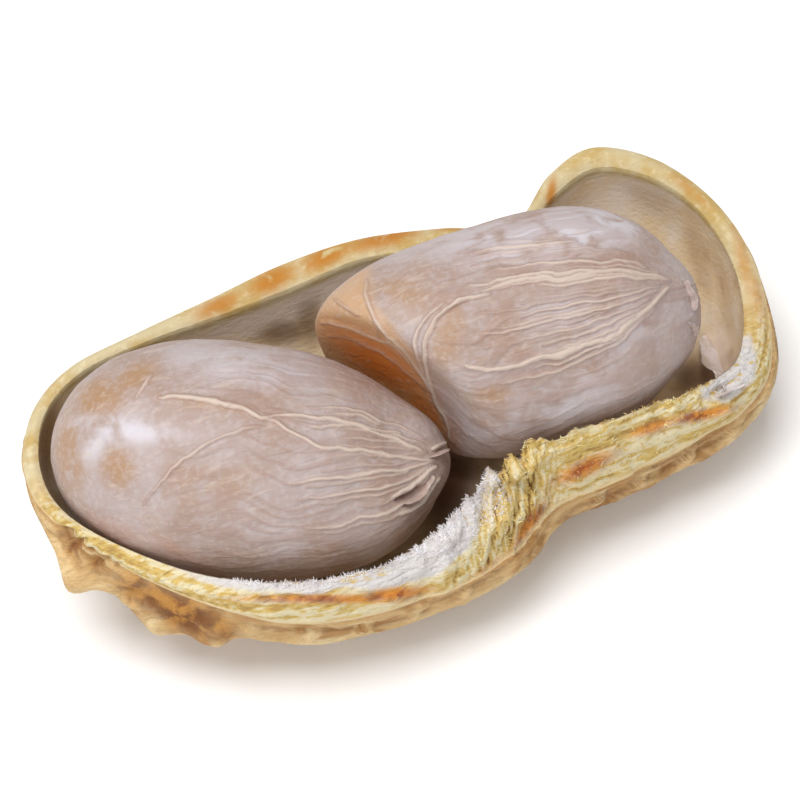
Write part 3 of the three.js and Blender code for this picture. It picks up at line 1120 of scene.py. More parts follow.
    def ragged_edge(self, place: np.ndarray) -> np.ndarray:
        """How far the torn edge stands up or falls short at each station."""
        along = np.stack([place * 2.8, 0.0 * place, 0.0 * place], axis=-1)
        torn = smoothstep(place, 2.4, 4.5) * smoothstep(LAST_STATION - place, 1.2, 2.4)
        waist = bell(place - 7.5, 1.0)
        coarse = self.grain.value(along + 3.0, 1.5)
        fine = self.grain.value(along + 8.0, 4.6)
        return torn * ((0.12 + 0.4 * waist) * (coarse + 0.9 * fine) + 0.3 * waist)

    def lining(self, place: np.ndarray, turn: np.ndarray) -> np.ndarray:
        """The hollow's wall, slightly rough and ragged at its near edge, on a grid."""
        points, away = self.inner.faced(place, turn)
        edge = np.clip(np.minimum(turn, 1.0 - turn) / self.edge_calm, 0.0, 1.0)[None, :]
        tip = np.minimum(place, LAST_STATION - place) / self.tip_calm
        tip = np.clip(tip, 0.0, 1.0)[:, None]
        rough = self.lining_height * self.grain.layered(points + 7.0, self.lining_pace) * edge * tip
        points = points + away * rough[..., None]
        near = np.clip(1.0 - turn / self.edge_calm, 0.0, 1.0)
        rise = self.ragged_edge(place)[:, None] * near[None, :]
        return points + rise[..., None] * np.array(self.jag_lean)

    def at_waist(self, points: np.ndarray) -> np.ndarray:
        """How near the waist's torn ear each point is, from 0 to 1."""
        return bell(points[..., 0] - self.waist_at, self.waist_reach)

    def torn_relief(
        self, flat: np.ndarray, across: np.ndarray, width: np.ndarray
    ) -> tuple[np.ndarray, np.ndarray]:
        """Relief of the torn face: strands run across it at the waist and along it elsewhere.

        Args:
            flat: Points across the face before it has any relief.
            across: How far across the face each point is, from 0 to 1.
            width: The face's width at each station, in millimetres.

        Returns:
            Heights in millimetres, and how high each strand stands from 0 to 1.
        """
        depth = across * width
        along = flat[..., 0]
        level = np.zeros_like(along)
        leaning = np.stack([along + 0.5 * depth, 0.3 * depth, level], axis=-1)
        layered = np.stack([0.3 * along, depth, level], axis=-1)
        cross_strand = 0.5 + 0.5 * self.grain.layered(leaning + 17.0, (4.6, 0.6, 1.0))
        long_strand = 0.5 + 0.5 * self.grain.layered(layered + 29.0, (0.9, 3.2, 1.0))
        wide = smoothstep(width, 1.6, 3.4)
        waist = self.at_waist(flat)
        strand = long_strand + (cross_strand - long_strand) * waist
        lumps = self.grain.value(np.stack([along, depth, level + 5.0], axis=-1), 1.1)
        knobs = self.knob_height * patches_over(self.knobs, PHOTO.project(flat))
        height = (0.22 + 0.36 * waist) * (strand - 0.5) + (0.06 + 0.22 * wide) * lumps + knobs
        return height, strand

    def near_lip(
        self, place: np.ndarray, start: np.ndarray, end: np.ndarray
    ) -> tuple[np.ndarray, np.ndarray, np.ndarray]:
        """The torn face between the lining's edge and the outside's edge.

        Args:
            place: Stations along the pod.
            start: The lining's edge at each station.
            end: The outside's edge at each station.

        Returns:
            Points across the face, how far across it each is, and how high its strand stands.
        """
        across = np.arange(1, self.lip_steps) / self.lip_steps
        tip = np.clip(np.minimum(place, LAST_STATION - place), 0.0, 1.0)[:, None, None]
        slanted = unit(np.array([0.0, -1.0, 0.6]))
        facing = np.array([0.0, 0.0, 1.0]) * (1.0 - tip) + slanted * tip
        rounding = self.far_rounding + (self.near_rounding - self.far_rounding) * tip
        flat = start[:, None] + (end - start)[:, None] * across[None, :, None]
        width = np.linalg.norm(end - start, axis=-1)[:, None]
        arch = np.sin(np.pi * across)[None, :, None]
        face = flat + facing * rounding * arch
        height, strand = self.torn_relief(flat, across[None, :], width)
        rest = np.clip(np.minimum(across, 1.0 - across) / 0.12, 0.0, 1.0)[None, :]
        raised = face + facing * (height * rest * tip[..., 0])[..., None]
        return raised, across, strand

    def build(self) -> list[bpy.types.Object]:
        """Makes the shell with the marks that its finish reads, and the scraps of its lining."""
        row = np.arange(self.rows + 1) / self.rows
        wave = np.sin(2.0 * np.pi * (row - self.sparsest)) + np.sin(2.0 * np.pi * self.sparsest)
        place = LAST_STATION * (row + self.crowding * wave / (2.0 * np.pi))
        outer_turn = np.arange(self.outer_steps + 1) / self.outer_steps
        inner_turn = 1.0 - np.arange(self.inner_steps + 1) / self.inner_steps
        outside, relief = self.outside(place, outer_turn)
        lining = self.lining(place, inner_turn)
        far_across = np.arange(1, self.lip_steps) / self.lip_steps
        far_start, far_end = outside[:, -1], lining[:, 0]
        far_lip = far_start[:, None] + (far_end - far_start)[:, None] * far_across[None, :, None]
        far_lip[..., 2] += self.far_rounding * np.sin(np.pi * far_across)
        near_lip, near_across, strand = self.near_lip(place, lining[:, -1], outside[:, 0])
        rings = np.concatenate([outside, far_lip, lining, near_lip], axis=1)
        return self.dress(rings, relief, near_across, strand, place)

    def dress(
        self,
        rings: np.ndarray,
        relief: np.ndarray,
        near_across: np.ndarray,
        strand: np.ndarray,
        place: np.ndarray,
    ) -> list[bpy.types.Object]:
        """Works out the marks and makes the objects.

        Args:
            rings: All points, ring by ring.
            relief: The net's relief over the outside.
            near_across: Places across the torn lip.
            strand: How high the torn lip's strands stand.
            place: Stations along the pod.

        Returns:
            The shell and the scraps of its lining.
        """
        rows, steps = rings.shape[:2]
        outer = self.outer_steps + 1
        lining_from = outer + self.lip_steps - 1
        torn_from = lining_from + self.inner_steps + 1
        picture = PHOTO.project(rings)
        marks = {name: np.zeros((rows, steps)) for name in ("relief", "inside", "clean", "torn")}
        marks["relief"][:, :outer] = relief
        marks["inside"][:, lining_from:torn_from] = 1.0
        marks["clean"][:, outer - 2 : lining_from + 2] = 1.0
        tip = smoothstep(np.minimum(place, LAST_STATION - place), 0.0, 1.0)
        marks["torn"][:, torn_from:] = tip[:, None]
        marks["clean"][:, torn_from:] = 1.0 - tip[:, None]
        layer = np.zeros((rows, steps))
        layer[:, torn_from:] = near_across[None, :]
        marks["layer"] = layer
        marks["strand"] = np.full((rows, steps), 0.5)
        marks["strand"][:, torn_from:] = strand
        drawn = {"brown_mark": self.brown_marks, "rust_and_warm_shade": self.rust_and_shade_patches, "shade": self.shades}
        drawn |= {"film": self.films, "deep_shade": self.painted_deep_shades, "gild": self.gilds}
        for name, patches in drawn.items():
            marks[name] = patches_over(patches, picture)
        marks["groove"] = self.groove_shade * strokes_over(self.grooves, picture)
        marks["waist"] = self.at_waist(rings)
        smooth_rim = marks["clean"] * (1.0 - marks["inside"])
        marks["coarse"] = 1.0 - 0.8 * marks["inside"] - 0.7 * smooth_rim
        marks["pith"] = self.pith(rings, layer, picture)
        shell = closed_rings(rings, marks).build("shell")
        finish_piece(shell, ShellFinish().make())
        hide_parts("shell_half")
        film = FibreFinish("lining_film", srgb(226, 216, 216), srgb(204, 188, 176)).make()
        normals = grid_normals(rings, wrap=True)
        bits = [scrap.build(rings, normals, film, Slot.SHELL) for scrap in self.scraps]
        return [shell, *bits]

    def pith(self, rings: np.ndarray, layer: np.ndarray, picture: np.ndarray) -> np.ndarray:
        """Where white pith shows on the torn lip: its inner side, and more of it at the waist."""
        wide = patches_over(self.cottons, picture)
        ragged = 0.14 * self.grain.layered(rings, 1.6)
        along = picture[..., 0]
        edge = smoothstep(along, 150.0, 230.0) * (1.0 - smoothstep(along, 470.0, 500.0))
        reach = 0.16 * edge + 0.5 * wide
        shown = np.maximum(edge, smoothstep(wide, 0.1, 0.4))
        return shown * (1.0 - smoothstep(layer + ragged, reach, reach + 0.14 + 0.1 * wide))


@dataclass
class Dish:
    """The hollow that one kernel has pressed into the other."""

    facing: Point3
    depth: float
    middle: Point3
    radius: float
    softness: float

    def press(self, points: np.ndarray, centre: np.ndarray) -> tuple[np.ndarray, np.ndarray]:
        """Moves points beyond the dish back to it.

        Args:
            points: Points of the kernel.
            centre: The kernel's middle.

        Returns:
            The moved points, and how far each lay beyond the dish.
        """
        facing = unit(np.array(self.facing))
        aside = points - np.array(self.middle)
        reach = aside @ facing
        off_axis = np.sum(aside**2, axis=-1) - reach**2
        floor = self.depth + off_axis / (2.0 * self.radius)
        beyond = (points - centre) @ facing - floor
        back = self.softness * np.log1p(np.exp(beyond / self.softness))
        return points - facing * back[..., None], beyond


@dataclass
class Beak:
    """The small point over the seed's germ: where it faces, how tall it is and its width."""

    facing: Point3
    height: float
    width: float

    def draw_out(self, points: np.ndarray, centre: np.ndarray) -> np.ndarray:
        """Draws the skin out to the beak's point."""
        facing = unit(np.array(self.facing))
        turn = 1.0 - unit(points - centre) @ facing
        return points + facing * (self.height * bell(turn, self.width))[..., None]


def rim_at(down: np.ndarray) -> np.ndarray:
    """How far right the dish's rim lies in the picture at each height of it."""
    return np.interp(down, *zip(*DISH_RIM))


@dataclass
class Kernel:
    """One kernel with the veins and wrinkles of its skin."""

    name: str
    node: str
    centre: Point3
    yaw: float
    pitch: float
    length: float
    radius: float
    start_power: float
    end_power: float
    taper: float
    strokes: list[Stroke]
    tan_patches: list[Patch]
    # Whitish bloom of the skin, and the painted highlight on the right kernel's top.
    blooms_and_highlights: list[Patch]
    # Painted orange-brown shade, where the kernels meet.
    rust_and_shade_patches: list[Patch]
    beak: Beak
    folds: list[Stroke]
    scraps: list["Scrap"]
    dish: Dish | None = None
    rows: int = 286
    steps: int = 340
    open_side: float = 2.1
    side_crowding: float = 0.45
    middle_crowding: float = 0.35
    fold_depth: float = 0.3
    vein_height: float = 0.13
    wrinkle_height: float = 0.07
    wrinkle_pace: float = 6.0
    smooth_until: Point2 = (-0.6, 0.2)
    stretch: float = 3.0
    bend: Point2 = (0.16, 0.05)
    swell_height: float = 0.09
    swell_pace: float = 0.45
    end_calm: float = 0.02
    seen: Point2 = (0.02, 0.2)
    grain: Grain = Grain(8)

    def directions(self) -> tuple[np.ndarray, np.ndarray, np.ndarray]:
        """The long axis, the side direction and the up direction."""
        yaw, pitch = math.radians(self.yaw), math.radians(self.pitch)
        level = math.cos(pitch)
        axis = np.array([math.cos(yaw) * level, math.sin(yaw) * level, math.sin(pitch)])
        side = np.array([-math.sin(yaw), math.cos(yaw), 0.0])
        return axis, side, np.cross(axis, side)

    def body(self) -> tuple[np.ndarray, np.ndarray, np.ndarray, np.ndarray]:
        """The smooth body: points, places along it, angles, and how far beyond the dish."""
        axis, side, up = self.directions()
        centre = np.array(self.centre)
        row = np.arange(self.rows + 1) / self.rows
        crowded = row + self.middle_crowding * np.sin(2.0 * np.pi * row) / (2.0 * np.pi)
        along = -np.cos(np.pi * crowded)
        power = np.where(along < 0, self.start_power, self.end_power)
        bulge = np.sqrt(np.maximum(0.0, 1.0 - np.abs(along) ** power))
        radius = (self.radius * (1.0 - self.taper * along) * bulge)[:, None, None]
        turn = 2.0 * np.pi * np.arange(self.steps) / self.steps
        angle = self.open_side + turn - self.side_crowding * np.sin(turn)
        around = np.cos(angle)[:, None] * side + np.sin(angle)[:, None] * up
        points = centre + (along * self.length / 2.0)[:, None, None] * axis + radius * around[None]
        beyond = np.full(points.shape[:2], -np.inf)
        if self.dish is not None:
            points, beyond = self.dish.press(points, centre)
        return self.beak.draw_out(points, centre), along, angle, beyond

    def wrinkles(self, along: np.ndarray, angle: np.ndarray) -> np.ndarray:
        """Fine folds that run along the skin and gather towards both ends."""
        a, t = np.meshgrid(angle, along)
        circle = np.stack([self.stretch * t, np.cos(a), np.sin(a)], axis=-1)
        wavy = a + self.bend[0] * self.grain.value(circle, (1.2, 1.5, 1.5))
        wavy = wavy + self.bend[1] * self.grain.value(circle + 5.0, (3.4, 2.5, 2.5))
        ring = np.stack([self.stretch * t, np.cos(wavy), np.sin(wavy)], axis=-1)
        pace = self.wrinkle_pace
        broad = self.grain.ridged(ring, (0.3, pace * 0.8, pace * 0.8))
        fine = self.grain.ridged(ring + 9.0, (0.5, pace * 1.5, pace * 1.5))
        gate = smoothstep(self.grain.value(ring + 4.0, (0.8, 1.6, 1.6)), -0.5, 0.3)
        start = 0.25 + 0.75 * smoothstep(t, *self.smooth_until)
        return np.maximum(0.8 * broad, 0.6 * fine) * gate * start

    def build(self) -> list[bpy.types.Object]:
        """Makes the kernel with the marks that its finish reads, and the scraps on it."""
        points, along, angle, beyond = self.body()
        normals = grid_normals(points, wrap=True)
        normals[0] = -self.directions()[0]
        normals[-1] = self.directions()[0]
        picture = PHOTO.project(points)
        seen = smoothstep(PHOTO.seen_share(points, normals), *self.seen)
        inner_side = 1.0 - smoothstep(picture[..., 0] - rim_at(picture[..., 1]), -8.0, 10.0)
        dish = np.maximum(smoothstep(beyond, -0.8, 1.6), 0.8 * seen * (self.dish is not None))
        dish = dish * inner_side
        veins = strokes_over(self.strokes, swayed(picture, self.grain)) * seen
        folds = strokes_over(self.folds, picture) * seen
        wrinkles = self.wrinkles(along, angle) * (1.0 - 0.8 * dish)
        calm = 1.0 - 0.6 * np.clip(veins, 0.0, 1.0)
        swell = self.swell_height * self.grain.layered(points, self.swell_pace)
        height = self.vein_height * veins + self.wrinkle_height * wrinkles * calm + swell
        height = height - self.fold_depth * folds
        ends = np.clip((1.0 - np.abs(along)) / self.end_calm, 0.0, 1.0)[:, None]
        points = points + normals * (height * ends)[..., None]
        marks = {
            "vein": np.clip(np.maximum(veins * (1.0 - 0.4 * dish), 0.45 * wrinkles), 0.0, 1.0),
            "tan": patches_over(self.tan_patches, picture) * seen,
            # Whitish bloom, and the painted highlight on the right kernel's top.
            "bloom_and_highlight": patches_over(self.blooms_and_highlights, picture) * seen,
            "gold": dish,
            # Painted orange-brown shade where the kernels meet.
            "rust_and_warm_shade": patches_over(self.rust_and_shade_patches, picture) * seen,
            # Painted shade in the folds.
            "crease_shade": np.clip(folds, 0.0, 1.0),
        }
        piece = closed_rings(points, marks).build(self.name)
        material = SkinFinish(f"{self.name}_finish", math.radians(self.yaw)).make()
        finish_piece(piece, material)
        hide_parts(self.node)
        bits = [scrap.build(points, normals, material, Slot.KERNEL) for scrap in self.scraps]
        return [piece, *bits]


DISH_RIM = [(276, 368), (304, 372), (332, 396), (360, 420), (392, 428), (424, 444), (470, 452)]
FRONT_STROKES = [
    Stroke([(160, 396), (197, 396), (220, 404), (246, 411), (268, 418)], 2.6, 1.3),
    Stroke([(268, 418), (300, 416), (340, 418), (364, 428), (392, 440), (422, 453)], 2.3, 1.1),
    Stroke([(268, 420), (292, 434), (316, 444), (340, 452), (368, 450), (396, 456), (434, 462)], 2.2, 1.1),
    Stroke([(262, 424), (220, 437), (188, 456), (166, 475), (144, 504)], 2.0, 0.8),
    Stroke([(154, 374), (146, 386), (135, 402)], 2.0, 0.8),
    Stroke([(292, 482), (324, 476), (356, 478), (380, 468), (410, 468), (436, 462)], 2.2, 1.0),
    Stroke([(392, 497), (406, 488), (420, 476), (436, 468)], 2.4, 1.3),
    Stroke([(398, 512), (412, 507), (426, 494), (438, 478)], 2.4, 1.2),
    Stroke([(432, 450), (439, 446), (446, 442)], 2.4, 1.6),
    *fan(
        [(280, 404), (310, 400), (345, 400), (380, 414), (422, 440)],
        [(300, 540), (345, 536), (385, 526), (415, 506), (440, 474)],
        15,
        4,
    ),
]
BACK_STROKES = [
    Stroke([(365, 277), (367, 298), (375, 318), (390, 336), (409, 353), (424, 376), (432, 391)], 2.4, 1.2),
    Stroke([(432, 391), (443, 414), (455, 440)], 2.0),
    Stroke([(333, 298), (346, 306), (358, 315)], 1.8, 0.8),
    Stroke([(323, 325), (335, 323), (352, 327), (373, 334), (396, 344), (418, 372)], 2.0, 1.1),
    Stroke([(372, 312), (377, 324), (379, 336)], 1.8, 0.8),
    Stroke([(330, 338), (361, 340), (392, 356), (424, 386)], 2.0, 0.9),
    Stroke([(490, 294), (466, 300), (445, 310), (430, 328), (424, 348), (427, 376), (440, 407)], 2.3, 1.2),
    Stroke([(446, 302), (424, 319), (415, 336), (418, 360), (430, 388)], 2.0, 0.9),
    Stroke([(464, 366), (490, 369), (511, 367), (541, 359), (582, 346), (613, 334), (635, 320)], 2.6, 1.3),
    Stroke([(635, 320), (653, 301), (666, 287)], 2.3, 1.2),
    Stroke([(480, 291), (521, 281), (566, 277), (602, 271), (635, 273), (664, 279)], 2.3, 1.1),
    *fan(
        [(462, 272), (520, 262), (580, 256), (625, 260), (668, 276)],
        [(466, 392), (520, 382), (570, 366), (625, 338), (668, 292)],
        19,
        9,
    ),
    *fan(
        [(400, 262), (460, 250), (520, 240), (570, 236), (620, 246)],
        [(440, 284), (500, 268), (560, 256), (600, 252), (640, 258)],
        5,
        12,
    ),
]


@dataclass
class Scrap:
    """A small torn bit of thin skin that stands off a surface.

    Attributes:
        name: The piece's name.
        foot: The line where it is rooted, as corners in the picture.
        height: How far it stands up, in millimetres.
        lean: What is added to the surface's direction to give the way that it stands.
        curl: How far its free edge curls over, as a share of the height.
        seed: Picks how its free edge is torn.
    """

    name: str
    foot: list[Point2]
    height: float
    lean: Point3
    curl: float
    seed: int
    thickness: float = 0.06
    sink: float = 0.12
    steps: int = 40
    layers: int = 8

    def roots(self, points: np.ndarray, normals: np.ndarray) -> tuple[np.ndarray, np.ndarray]:
        """Finds the foot on a surface.

        Args:
            points: Points of the surface.
            normals: Its outward direction at each point.

        Returns:
            Places along the foot and the outward directions there.
        """
        picture = PHOTO.project(points)
        away = np.where(PHOTO.seen_share(points, normals) > 0.1, 0.0, 1e6)
        corners = rounded(np.array(self.foot, float))
        share = np.linspace(0.0, len(corners) - 1.0, self.steps + 1)
        found = []
        for place in share:
            across = np.interp(place, np.arange(len(corners)), corners[:, 0])
            down = np.interp(place, np.arange(len(corners)), corners[:, 1])
            offset = np.linalg.norm(picture - np.array([across, down]), axis=-1) + away
            found.append(np.unravel_index(np.argmin(offset), offset.shape))
        root = np.array([points[where] for where in found])
        outward = np.array([normals[where] for where in found])
        for _ in range(4):
            root[1:-1] = (root[:-2] + 2.0 * root[1:-1] + root[2:]) / 4.0
            outward[1:-1] = (outward[:-2] + 2.0 * outward[1:-1] + outward[2:]) / 4.0
        return root, unit(outward)

    def build(
        self, points: np.ndarray, normals: np.ndarray, material: bpy.types.Material, slot: Slot
    ) -> bpy.types.Object:
        """Makes the scrap on a surface.

        Args:
            points: Points of the surface.
            normals: Its outward direction at each point.
            material: What it is dressed in.
            slot: The finish slot of that material; not used.

        Returns:
            The scrap.
        """
        root, outward = self.roots(points, normals)
        upward = unit(outward + np.array(self.lean))
        aside = unit(np.cross(np.gradient(root, axis=0), upward))
        share = np.arange(self.steps + 1) / self.steps
        along = np.stack([share * 6.0, 0.0 * share, 0.0 * share], axis=-1)
        torn = 1.0 + 0.45 * Grain(self.seed).layered(along, 1.0)
        rise = self.height * torn * np.sin(np.pi * share) ** 0.6
        end = np.minimum(1.0, np.sin(np.pi * share) * 4.0)
        climb = np.arange(self.layers + 1) / self.layers
        up = np.concatenate([climb, climb[::-1]])
        side = np.concatenate([np.ones_like(climb), -np.ones_like(climb)])
        reach = (rise + self.sink)[:, None] * up[None, :] - self.sink
        bent = self.curl * rise[:, None] * up[None, :] ** 2
        thick = 0.5 * self.thickness * end[:, None] * (side * (1.0 - 0.7 * up))[None, :]
        rings = root[:, None] + upward[:, None] * reach[..., None]
        rings = rings + aside[:, None] * (bent + thick)[..., None]
        outward = np.cross(rings[:, 1] - rings[:, 0], np.gradient(root, axis=0))
        if np.sum((rings[:, 0] - rings[:, -1]) * outward) < 0:
            rings = rings[:, ::-1]
        piece = closed_rings(rings, {}).build(self.name)
        finish_piece(piece, material)
        return piece


def front_kernel() -> Kernel:
    """The left kernel, its pointed end towards the other."""
    return Kernel(
        name="kernel_front_skin",
        node="kernel_front",
        centre=(-8.0, -1.15, 0.65),
        yaw=-23.5,
        pitch=-7.0,
        length=18.2,
        radius=5.58,
        start_power=2.25,
        end_power=2.3,
        taper=0.05,
        strokes=FRONT_STROKES,
        tan_patches=[
            Patch((98, 398), (30, 20), -14, 1.0),
            Patch((136, 376), (26, 12), -28, 1.0),
            Patch((70, 450), (14, 44), -8, 0.8),
            Patch((215, 487), (48, 22), -15, 0.55),
            Patch((210, 404), (50, 7), 8, 0.5),
            Patch((118, 468), (18, 22), 0, 0.9),
        ],
        blooms_and_highlights=[
            Patch((122, 430), (50, 13), 6, 1.0),
            Patch((96, 440), (10, 26), 20, 0.8),
            Patch((250, 366), (80, 20), 4, 0.5),
        ],
        # Painted reddish-brown shade along the lower left edge.
        rust_and_shade_patches=[Patch((150, 548), (90, 16), 22, 0.12)],
        beak=Beak((0.94, -0.32, 0.1), 0.7, 0.03),
        # Folds cut into the skin, with painted shade in them.
        folds=[
            Stroke([(396, 500), (410, 494), (420, 486)], 2.4, 0.9),
            Stroke([(404, 505), (414, 502), (424, 492)], 2.0, 0.6),
        ],
        scraps=[
            Scrap("ear_front", [(428, 458), (436, 453), (443, 450)], 0.55, (0.7, 0.1, 0.6), 0.3, 3),
            Scrap(
                "crest_front",
                [(402, 503), (414, 497), (424, 486), (433, 474)],
                0.3,
                (0.2, 0.0, 0.3),
                0.5,
                5,
            ),
        ],
    )


def back_kernel() -> Kernel:
    """The right kernel, with the dish where the other lay."""
    return Kernel(
        name="kernel_back_skin",
        node="kernel_back",
        centre=(4.8, 0.1, 2.2),
        yaw=1.5,
        pitch=-4.0,
        length=19.2,
        radius=5.5,
        start_power=2.9,
        end_power=3.2,
        taper=-0.03,
        strokes=BACK_STROKES,
        tan_patches=[
            Patch((400, 290), (24, 12), 20, 0.7),
            Patch((446, 340), (16, 34), 10, 0.7),
            Patch((492, 394), (20, 8), -6, 0.9),
            Patch((630, 372), (40, 12), -24, 0.6),
            Patch((520, 350), (60, 8), -14, 0.3),
        ],
        # Patches of whitish bloom; the long one over the top is a painted highlight.
        blooms_and_highlights=[
            Patch((560, 232), (120, 24), -8, 1.0),
            Patch((560, 400), (110, 24), -22, 0.5),
            Patch((600, 320), (60, 40), -20, 0.4),
        ],
        # Painted orange-brown shade in the dish, where the other kernel lies against it.
        rust_and_shade_patches=[
            Patch((445, 440), (16, 22), 0, 0.35),
            Patch((378, 362), (58, 20), 34, 0.95),
            Patch((425, 412), (34, 12), 58, 0.8),
        ],
        beak=Beak((0.98, -0.19, 0.03), 0.5, 0.04),
        # A fold cut into the skin, with painted shade in it.
        folds=[
            Stroke([(470, 300), (436, 318), (426, 340), (428, 366)], 1.8, 0.25),
        ],
        scraps=[
            Scrap("bit_back", [(684, 282), (690, 296), (693, 312)], 0.4, (0.5, 0.0, 0.5), 0.3, 6),
            Scrap("beak_back", [(688, 322), (693, 328), (694, 336)], 0.35, (0.6, 0.0, 0.2), 0.3, 8),
        ],
        dish=Dish((-0.8, -0.56, 0.02), 3.8, (-1.5, -1.8, 1.7), 10.0, 1.2),
        smooth_until=(-0.9, -0.3),
    )


@dataclass
class Tufts:
    """Short fibres that stand out of a strip of the torn lip, scattered by geometry nodes.

    Attributes:
        name: The piece's name.
        start: Where the strip begins along the stations.
        end: Where it ends.
        across: The strip's two sides, as shares of the torn face from inside to outside.
        density: Fibres to the square millimetre.
        length: Middle length of a fibre in millimetres.
        thickness: Its thickness in millimetres.
        lean: How far the fibres lean at random, in radians.
        rise: What is added to the face's direction to give the way that fibres stand.
        seed: Picks the scatter.
    """

    name: str
    start: float
    end: float
    across: Point2
    density: float
    length: float
    thickness: float
    lean: float
    rise: Point3
    seed: int
    finish: FibreFinish
    rows: int = 160
    bends: int = 4
    sides: int = 4
    middle: Point3 = (0.25, 0.0, 0.6)
    tip: Point3 = (0.6, 0.15, 0.9)
    tip_share: float = 0.25
    turns: tuple[Point3, Point3] = ((-1.0, -1.0, -3.1), (1.0, 1.0, 3.1))
    sizes: tuple[Point3, Point3] = ((0.6, 0.6, 0.35), (1.3, 1.3, 1.5))

    def strip(self, shell: Shell) -> bpy.types.Object:
        """The band of the torn face that the fibres stand on."""
        place = np.linspace(self.start, self.end, self.rows)
        edge = np.array([0.0, 1.0])
        lining = shell.lining(place, edge)[:, 0]
        outside = shell.outside(place, edge)[0][:, 0]
        face, across, _ = shell.near_lip(place, lining, outside)
        ring = np.concatenate([lining[:, None], face, outside[:, None]], axis=1)
        share = np.concatenate([[0.0], across, [1.0]])
        chosen = (share >= self.across[0]) & (share <= self.across[1])
        band = ring[:, chosen]
        rows, steps = band.shape[:2]
        row, step = np.meshgrid(np.arange(rows - 1), np.arange(steps - 1), indexing="ij")
        corner = row * steps + step
        faces = np.stack([corner, corner + 1, corner + steps + 1, corner + steps], axis=-1)
        return Surface(band.reshape(-1, 3), faces[..., ::-1].reshape(-1, 4).tolist()).build(self.name)

    def tree(self, material: bpy.types.Material) -> bpy.types.NodeTree:
        """The node tree that scatters fibres over a band and turns them into one mesh."""
        tree = bpy.data.node_groups.new(f"{self.name}_nodes", "GeometryNodeTree")
        face = tree.interface
        face.new_socket("Band", in_out="INPUT", socket_type="NodeSocketGeometry")
        for label in ("Density", "Length", "Thickness", "Lean"):
            face.new_socket(label, in_out="INPUT", socket_type="NodeSocketFloat")
        face.new_socket("Rise", in_out="INPUT", socket_type="NodeSocketVector")
        face.new_socket("Seed", in_out="INPUT", socket_type="NodeSocketInt")
        face.new_socket("Fibres", in_out="OUTPUT", socket_type="NodeSocketGeometry")
        nodes, links = tree.nodes, tree.links
        given = nodes.new("NodeGroupInput")
        result = nodes.new("NodeGroupOutput")
        scatter = nodes.new("GeometryNodeDistributePointsOnFaces")
        links.new(given.outputs["Band"], scatter.inputs["Mesh"])
        links.new(given.outputs["Density"], scatter.inputs["Density"])
        links.new(given.outputs["Seed"], scatter.inputs["Seed"])
        fibre = self.fibre(nodes, links, given)
        turn = self.random(nodes, *self.turns)
        lean = nodes.new("ShaderNodeVectorMath")
        lean.operation = "MULTIPLY"
        spread = nodes.new("ShaderNodeCombineXYZ")
        links.new(given.outputs["Lean"], spread.inputs["X"])
        links.new(given.outputs["Lean"], spread.inputs["Y"])
        spread.inputs["Z"].default_value = 1.0
        links.new(turn, lean.inputs[0])
        links.new(spread.outputs["Vector"], lean.inputs[1])
        upward = nodes.new("ShaderNodeVectorMath")
        links.new(scatter.outputs["Normal"], upward.inputs[0])
        links.new(given.outputs["Rise"], upward.inputs[1])
        stand = nodes.new("FunctionNodeAlignRotationToVector")
        stand.axis = "Z"
        links.new(upward.outputs["Vector"], stand.inputs["Vector"])
        rotate = nodes.new("FunctionNodeRotateRotation")
        rotate.rotation_space = "LOCAL"
        links.new(stand.outputs["Rotation"], rotate.inputs["Rotation"])
        euler = nodes.new("FunctionNodeEulerToRotation")
        links.new(lean.outputs["Vector"], euler.inputs["Euler"])
        links.new(euler.outputs["Rotation"], rotate.inputs["Rotate By"])
        place = nodes.new("GeometryNodeInstanceOnPoints")
        links.new(scatter.outputs["Points"], place.inputs["Points"])
        links.new(fibre, place.inputs["Instance"])
        links.new(rotate.outputs["Rotation"], place.inputs["Rotation"])
        links.new(self.random(nodes, *self.sizes), place.inputs["Scale"])
        real = nodes.new("GeometryNodeRealizeInstances")
        links.new(place.outputs["Instances"], real.inputs["Geometry"])
        dress = nodes.new("GeometryNodeSetMaterial")
        dress.inputs["Material"].default_value = material
        links.new(real.outputs["Geometry"], dress.inputs["Geometry"])
        links.new(dress.outputs["Geometry"], result.inputs["Fibres"])
        return tree

    def random(self, nodes: bpy.types.Nodes, low: Point3, high: Point3) -> bpy.types.NodeSocket:
        """A random vector for each fibre."""
        made = nodes.new("FunctionNodeRandomValue")
        made.data_type = "FLOAT_VECTOR"
        made.inputs["Min"].default_value = low
        made.inputs["Max"].default_value = high
        made.inputs["Seed"].default_value = self.seed
        return made.outputs["Value"]

